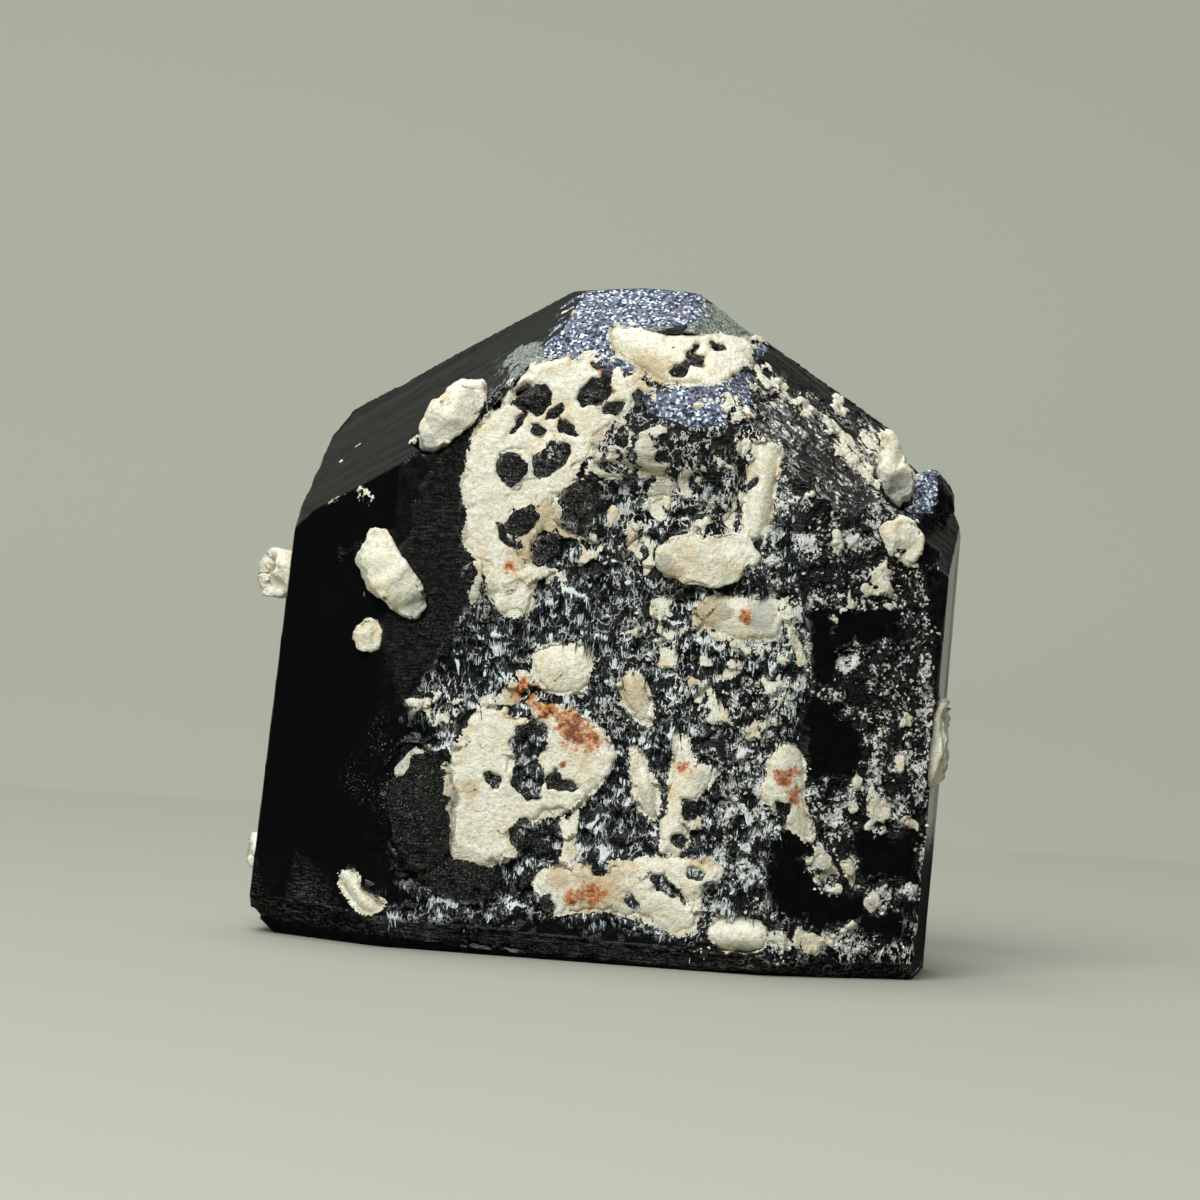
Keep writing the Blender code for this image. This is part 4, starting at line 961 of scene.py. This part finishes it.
def chip(points, seed, flats=16):
    """Cuts a rounded grain with flat cleavage faces, seen from its own middle."""
    rng = np.random.default_rng(seed)
    middle, half = (points.max(0) + points.min(0)) / 2, (points.max(0) - points.min(0)) / 2
    around = (points - middle) / half
    directions = rng.normal(size=(flats, 3))
    directions /= np.linalg.norm(directions, axis=1, keepdims=True)
    over = np.max(around @ directions.T / rng.uniform(0.8, 1.05, flats), axis=1)
    return middle + (points - middle) / np.maximum(over, 1)[:, None]


def fit_outline(points, outline, seed):
    """Stretches a grain, seen from the front, to its outline, and cuts its front with sloping flats."""
    x, y, z = points.T
    ring = np.array(outline)
    middle = ring.mean(0)
    dx, dz = x - (x.max() + x.min()) / 2, z - (z.max() + z.min()) / 2
    angle, far = np.arctan2(dz, dx), np.hypot(dx, dz)
    ragged = 1 + 0.07 * noise(points, 0.7, seed) + 0.05 * noise(points, 0.3, seed)
    spoke = ((angle + math.pi) / (2 * math.pi) * 60).astype(int) % 60
    own = np.full(60, 1e-6)
    np.maximum.at(own, spoke, far)
    own = np.interp(angle, (np.arange(60) + 0.5) / 60 * 2 * math.pi - math.pi, own, period=2 * math.pi)
    reach = np.zeros(x.shape)
    for (ax, az), (bx, bz) in zip(ring - middle, np.roll(ring - middle, -1, 0)):
        ux, uz, ex, ez = np.cos(angle), np.sin(angle), bx - ax, bz - az
        cross = ux * ez - uz * ex
        cross = np.where(np.abs(cross) < 1e-9, 1e-9, cross)
        t, s = (ax * ez - az * ex) / cross, (ax * uz - az * ux) / cross
        reach = np.where((t > 0) & (s >= 0) & (s <= 1), np.maximum(reach, t), reach)
    scale = reach * ragged / own
    dx, dz = dx * scale, dz * scale
    rng = np.random.default_rng(seed)
    front, deep = y.min(), y.max() - y.min()
    for turn, slope, back in zip(rng.uniform(0, 2 * math.pi, 9), rng.uniform(0.2, 0.7, 9), rng.uniform(0.0, 0.15, 9)):
        y = np.maximum(y, np.minimum(front + back * deep + slope * (dx * math.cos(turn) + dz * math.sin(turn)), front + 0.35 * deep))
    return np.stack([middle[0] + dx, y, middle[1] + dz], 1)


def dress_orthoclase(node, seed):
    """One standing feldspar crystal, cut to flats and swollen into its socket, with a grainy skin."""
    piece = fine_mesh(node.replace("orthoclase_", "feldspar_"), node, FELDSPAR_FINE)
    mesh = piece.data
    points = crystal_points(mesh)[0]
    if node[11:] in GRAIN_OUTLINES:
        points = fit_outline(points, GRAIN_OUTLINES[node[11:]][0], seed)
    else:
        points = chip(points, seed)
    set_crystal_points(mesh, points)
    points, normals = crystal_points(mesh)
    middle = points.mean(0)
    outward = np.array((middle[0], 1.6 * (middle[1] - 7.5), 0.0))
    edge = smooth(0.9, 0.3, normals @ (outward / np.linalg.norm(outward)))
    sunk = 0.75 if node == "orthoclase_left_edge_grain" else 0.25
    swell = 0.02 + (0.12 * edge if node[11:] in GRAIN_OUTLINES else 0.25 * edge - sunk * (1 - edge)) + 0.08 * noise(points, 1.3, 63) + 0.07 * noise(points, 0.65, 61)
    swell += 0.04 * noise(points, 0.35, 62) + 0.025 * noise(points, 0.2, 64)
    push(mesh, np.clip(swell, -0.8, 0.4))
    return finish_orthoclase(piece, node)


def finish_orthoclase(piece, node):
    """Stains, material and place of one feldspar piece."""
    mesh = piece.data
    x, y, z = crystal_points(mesh)[0].T
    keep_value(mesh, "tan", spots(x, z, TAN_SPOTS) * (y < 3))
    keep_value(mesh, "rust", spots(x, z, RUST_SPOTS) * (y < 3))
    keep_value(mesh, "clear", spots(x, z, CLEAR_SPOTS) * (y < 12))
    mesh.materials.clear()
    mesh.materials.append(ORTHOCLASE)
    mesh.shade_smooth()
    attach(piece, "root")
    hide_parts(node)
    return piece


def dress_sheet(name, sheet):
    """One feldspar sheet: it dips under the schorl along a ragged edge, and its schorl islands show through."""
    x, z = sheet["x"], sheet["z"]
    face = face_terms(x, z) @ sheet["face"]
    at = np.stack([x.ravel(), face.ravel(), z.ravel()], 1)
    ragged = (0.34 * noise(at, 0.9, 71) + 0.28 * noise(at, 0.42, 72) + 0.16 * noise(at, 0.2, 73)).reshape(x.shape)
    thin = smooth(1.3, 0.6, sheet["inside"].max())
    field = sheet["inside"] + 0.12 + 0.14 * thin + ragged * (1 - 0.5 * thin)
    field = np.minimum(field, 1.5 * from_islands(x, z) + 0.3 * ragged)
    grain = (0.06 * noise(at, 1.1, 74) + 0.035 * noise(at, 0.4, 75) + 0.025 * noise(at, 0.2, 76)).reshape(x.shape)
    height = np.where(field > 0, 0.06 * smooth(0, 0.12, field) + grain * smooth(0, 0.2, field), 1.6 * field)
    kept = field > -0.3
    number = np.full(x.shape, -1)
    number[kept] = np.arange(kept.sum())
    corners = np.stack([x[kept], (face - height)[kept], z[kept]], 1)
    a, b, c, d = number[:-1, :-1], number[1:, :-1], number[1:, 1:], number[:-1, 1:]
    whole = (a >= 0) & (b >= 0) & (c >= 0) & (d >= 0)
    quads = np.stack([a[whole], b[whole], c[whole], d[whole]], 1)
    mesh = bpy.data.meshes.new("feldspar_" + name)
    mesh.from_pydata(corners.tolist(), [], quads.tolist())
    set_crystal_points(mesh, corners)
    piece = bpy.data.objects.new("feldspar_" + name, mesh)
    bpy.context.scene.collection.objects.link(piece)
    body = piece.modifiers.new("body", "SOLIDIFY")
    body.thickness, body.offset = 0.7 * MM, -1
    bake(piece)
    return finish_orthoclase(piece, "orthoclase_" + name)


raised = sorted(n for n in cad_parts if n.startswith("orthoclase") and n[11:] not in SHEETS)
feldspar = [dress_orthoclase(node, 5 + i) for i, node in enumerate(raised)] + [dress_sheet(name, sheets[name]) for name in SHEETS]

# Needles and flecks
# Etching left the schorl standing as bundles of three-sided needles, and feldspar dust grew over
# the right side as thousands of flecks. Both are scattered on the front by its own masks.

def scatter_group(name, density_from, shape, tilt, spread, small, large, rough):
    """Scatters one shape over a surface where the named mask is high, as real mesh."""
    group = bpy.data.node_groups.new(name, "GeometryNodeTree")
    for label, kind, start in (("Surface", "Geometry", None), ("Density", "Float", 1e7), ("Smallest", "Vector", small),
                               ("Largest", "Vector", large), ("Unevenness", "Float", rough), ("Seed", "Int", 1),
                               ("Material", "Material", None)):
        socket = group.interface.new_socket(label, in_out="INPUT", socket_type=f"NodeSocket{kind}")
        if start is not None:
            socket.default_value = start
    group.interface.new_socket("Mesh", in_out="OUTPUT", socket_type="NodeSocketGeometry")
    into, out = group.nodes.new("NodeGroupInput"), group.nodes.new("NodeGroupOutput")

    def node(kind, **settings):
        made = group.nodes.new(kind)
        for key, value in settings.items():
            setattr(made, key, value)
        return made

    mask = node("GeometryNodeInputNamedAttribute", data_type="FLOAT")
    mask.inputs["Name"].default_value = density_from
    density = node("ShaderNodeMath", operation="MULTIPLY")
    plug(group, density.inputs[0], mask.outputs["Attribute"])
    plug(group, density.inputs[1], into.outputs["Density"])
    place = node("GeometryNodeDistributePointsOnFaces")
    for label, value in (("Mesh", into.outputs["Surface"]), ("Density", density.outputs[0]), ("Seed", into.outputs["Seed"])):
        plug(group, place.inputs[label], value)
    turn = node("FunctionNodeRandomValue", data_type="FLOAT_VECTOR")
    turn.inputs["Min"].default_value = [t - s for t, s in zip(tilt, spread)]
    turn.inputs["Max"].default_value = [t + s for t, s in zip(tilt, spread)]
    size = node("FunctionNodeRandomValue", data_type="FLOAT_VECTOR")
    plug(group, size.inputs["Min"], into.outputs["Smallest"])
    plug(group, size.inputs["Max"], into.outputs["Largest"])
    plug(group, turn.inputs["Seed"], into.outputs["Seed"])
    copies = node("GeometryNodeInstanceOnPoints")
    for label, value in (("Points", place.outputs["Points"]), ("Instance", shape(group, node)),
                         ("Rotation", turn.outputs["Value"]), ("Scale", size.outputs["Value"])):
        plug(group, copies.inputs[label], value)
    real = node("GeometryNodeRealizeInstances")
    plug(group, real.inputs[0], copies.outputs[0])
    bumps = node("ShaderNodeTexNoise")
    bumps.inputs["Scale"].default_value = 14000.0
    centred = node("ShaderNodeVectorMath", operation="SUBTRACT")
    plug(group, centred.inputs[0], bumps.outputs["Color"])
    centred.inputs[1].default_value = (0.5, 0.5, 0.5)
    shift = node("ShaderNodeVectorMath", operation="SCALE")
    plug(group, shift.inputs[0], centred.outputs[0])
    plug(group, shift.inputs["Scale"], into.outputs["Unevenness"])
    moved = node("GeometryNodeSetPosition")
    plug(group, moved.inputs["Geometry"], real.outputs[0])
    plug(group, moved.inputs["Offset"], shift.outputs[0])
    painted = node("GeometryNodeSetMaterial")
    plug(group, painted.inputs["Geometry"], moved.outputs[0])
    plug(group, painted.inputs["Material"], into.outputs["Material"])
    plug(group, out.inputs["Mesh"], painted.outputs[0])
    return group


def needle_shape(group, node):
    made = node("GeometryNodeMeshCone")
    for label, value in (("Vertices", 3), ("Radius Top", 0.018 * MM), ("Radius Bottom", 0.042 * MM), ("Depth", 0.8 * MM)):
        made.inputs[label].default_value = value
    return made.outputs["Mesh"]


def fleck_shape(group, node):
    made = node("GeometryNodeMeshIcoSphere")
    made.inputs["Radius"].default_value = 0.1 * MM
    return made.outputs["Mesh"]


def scatter(name, group, density, seed, material):
    """Runs a scatter group over the schorl and keeps the result as plain mesh."""
    piece = bpy.data.objects.new(name, schorl.data.copy())
    bpy.context.scene.collection.objects.link(piece)
    grown = piece.modifiers.new(name, "NODES")
    grown.node_group = group
    sockets = {i.name: i.identifier for i in group.interface.items_tree if i.in_out == "INPUT"}
    grown[sockets["Density"]], grown[sockets["Seed"]], grown[sockets["Material"]] = density, seed, material
    bake(piece)
    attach(piece, "root")
    return piece


def needle_material():
    material, tree, shader, at = new_material("schorl_needles")
    streak = use_group(tree, NEEDLE_STREAKS, Position=at, Amount=1.0, Lip=0.5)
    # Painted sheen and painted highlights: a bluish tint along each needle and pale tips stand in for reflected light
    colour = mix_node(tree, streak["Painted Sheen"], (0.006, 0.008, 0.009, 1), (0.10, 0.15, 0.17, 1))
    colour = mix_node(tree, streak["Painted Glint"], colour, (0.66, 0.71, 0.69, 1))
    tree.links.new(colour, shader.inputs["Base Color"])
    shader.inputs["Roughness"].default_value = 0.3
    shader.inputs["IOR"].default_value = 1.64
    shader.inputs["Specular IOR Level"].default_value = 0.16
    return material


def fleck_material():
    material, tree, shader, at = new_material("feldspar_flecks")
    stone = use_group(tree, FELDSPAR_SURFACE, Position=at)
    shade = noise_node(tree, at, 2.3, 2)
    colour = mix_node(tree, step_node(tree, shade, 0.35, 0.65), (0.40, 0.42, 0.40, 1), stone["Color"])
    tree.links.new(colour, shader.inputs["Base Color"])
    shader.inputs["Roughness"].default_value = 0.5
    return material


lean = math.radians(192)
needles = scatter("schorl_needles", scatter_group(
    "upright_needles", "grow", needle_shape, (lean, 0, 0), (0.14, 0.14, 3.1), (0.7, 0.7, 0.4), (1.3, 1.3, 1.2), 0.00003),
    1.6e7, 3, needle_material())
flecks = scatter("feldspar_flecks", scatter_group(
    "feldspar_dust", "dust", fleck_shape, (0, 0, 0), (3.1, 3.1, 3.1), (0.2, 0.2, 0.3), (1.3, 0.7, 1.6), 0.00018),
    0.7e7, 8, fleck_material())

# Table and light
# A plain pale grey-green sweep, a large soft light overhead and a weaker one at the left; the
# room on the camera's side is dark, so that the glassy face stays black.

SWEEP_WIDTH = 1600 * MM
PALE = (0.413, 0.434, 0.356, 1)
TABLE_PROFILE = [(-800, 0), (90, 0)]
BACKDROP_PROFILE = [(90, 0), (140, 6), (180, 24), (205, 55), (215, 95), (218, 320)]


def sweep(name, profile, colour):
    mesh = bpy.data.meshes.new(name)
    corners = [(side * SWEEP_WIDTH / 2, y * MM, z * MM) for y, z in profile for side in (-1, 1)]
    mesh.from_pydata(corners, [], [(2 * i, 2 * i + 1, 2 * i + 3, 2 * i + 2) for i in range(len(profile) - 1)])
    mesh.shade_smooth()
    made = bpy.data.objects.new(name, mesh)
    bpy.context.scene.collection.objects.link(made)
    material, tree, shader, at = new_material(name)
    shader.inputs["Base Color"].default_value = colour
    shader.inputs["Roughness"].default_value = 0.85
    shader.inputs["Specular IOR Level"].default_value = 0.1
    mesh.materials.append(material)
    return made


table = sweep("table", TABLE_PROFILE, (0.34, 0.355, 0.295, 1))
table.visible_glossy = False
backdrop = sweep("backdrop", BACKDROP_PROFILE, (0.34, 0.355, 0.295, 1))
paint = backdrop.data.materials[0].node_tree
behind, clear, one_sided = (paint.nodes.new(kind) for kind in (
    "ShaderNodeNewGeometry", "ShaderNodeBsdfTransparent", "ShaderNodeMixShader"))
plug(paint, one_sided.inputs[0], behind.outputs["Backfacing"])
plug(paint, one_sided.inputs[1], paint.nodes["Principled BSDF"].outputs[0])
plug(paint, one_sided.inputs[2], clear.outputs[0])
plug(paint, paint.nodes["Material Output"].inputs["Surface"], one_sided.outputs[0])


def soft_light(name, place, size, power, glints=True, colour=(1, 1, 1)):
    lamp = bpy.data.lights.new(name, "AREA")
    lamp.size, lamp.energy, lamp.color = size, power, colour
    made = bpy.data.objects.new(name, lamp)
    bpy.context.scene.collection.objects.link(made)
    made.location = Vector(place) * MM
    made.rotation_euler = (Vector((0, 0, 15)) * MM - made.location).to_track_quat("-Z", "Y").to_euler()
    made.visible_glossy = glints


soft_light("overhead_light", (-40, 40, 420), 0.26, 1.15)
soft_light("front_light", (-90, -290, 300), 0.22, 1.85)
soft_light("left_light", (-330, -170, 200), 0.18, 0.25, glints=False, colour=(0.93, 0.96, 1.0))

world = bpy.data.worlds.new("room")
world.use_nodes = True
sky = world.node_tree
dim, pale, ray, seen = (sky.nodes["Background"], sky.nodes.new("ShaderNodeBackground"),
                        sky.nodes.new("ShaderNodeLightPath"), sky.nodes.new("ShaderNodeMixShader"))
dim.inputs["Color"].default_value, dim.inputs["Strength"].default_value = (0.5, 0.52, 0.5, 1), 0.03
pale.inputs["Color"].default_value = PALE
plug(sky, seen.inputs[0], ray.outputs["Is Camera Ray"])
plug(sky, seen.inputs[1], dim.outputs[0])
plug(sky, seen.inputs[2], pale.outputs[0])
plug(sky, sky.nodes["World Output"].inputs["Surface"], seen.outputs[0])
bpy.context.scene.world = world
bpy.context.scene.view_settings.view_transform = "Standard"
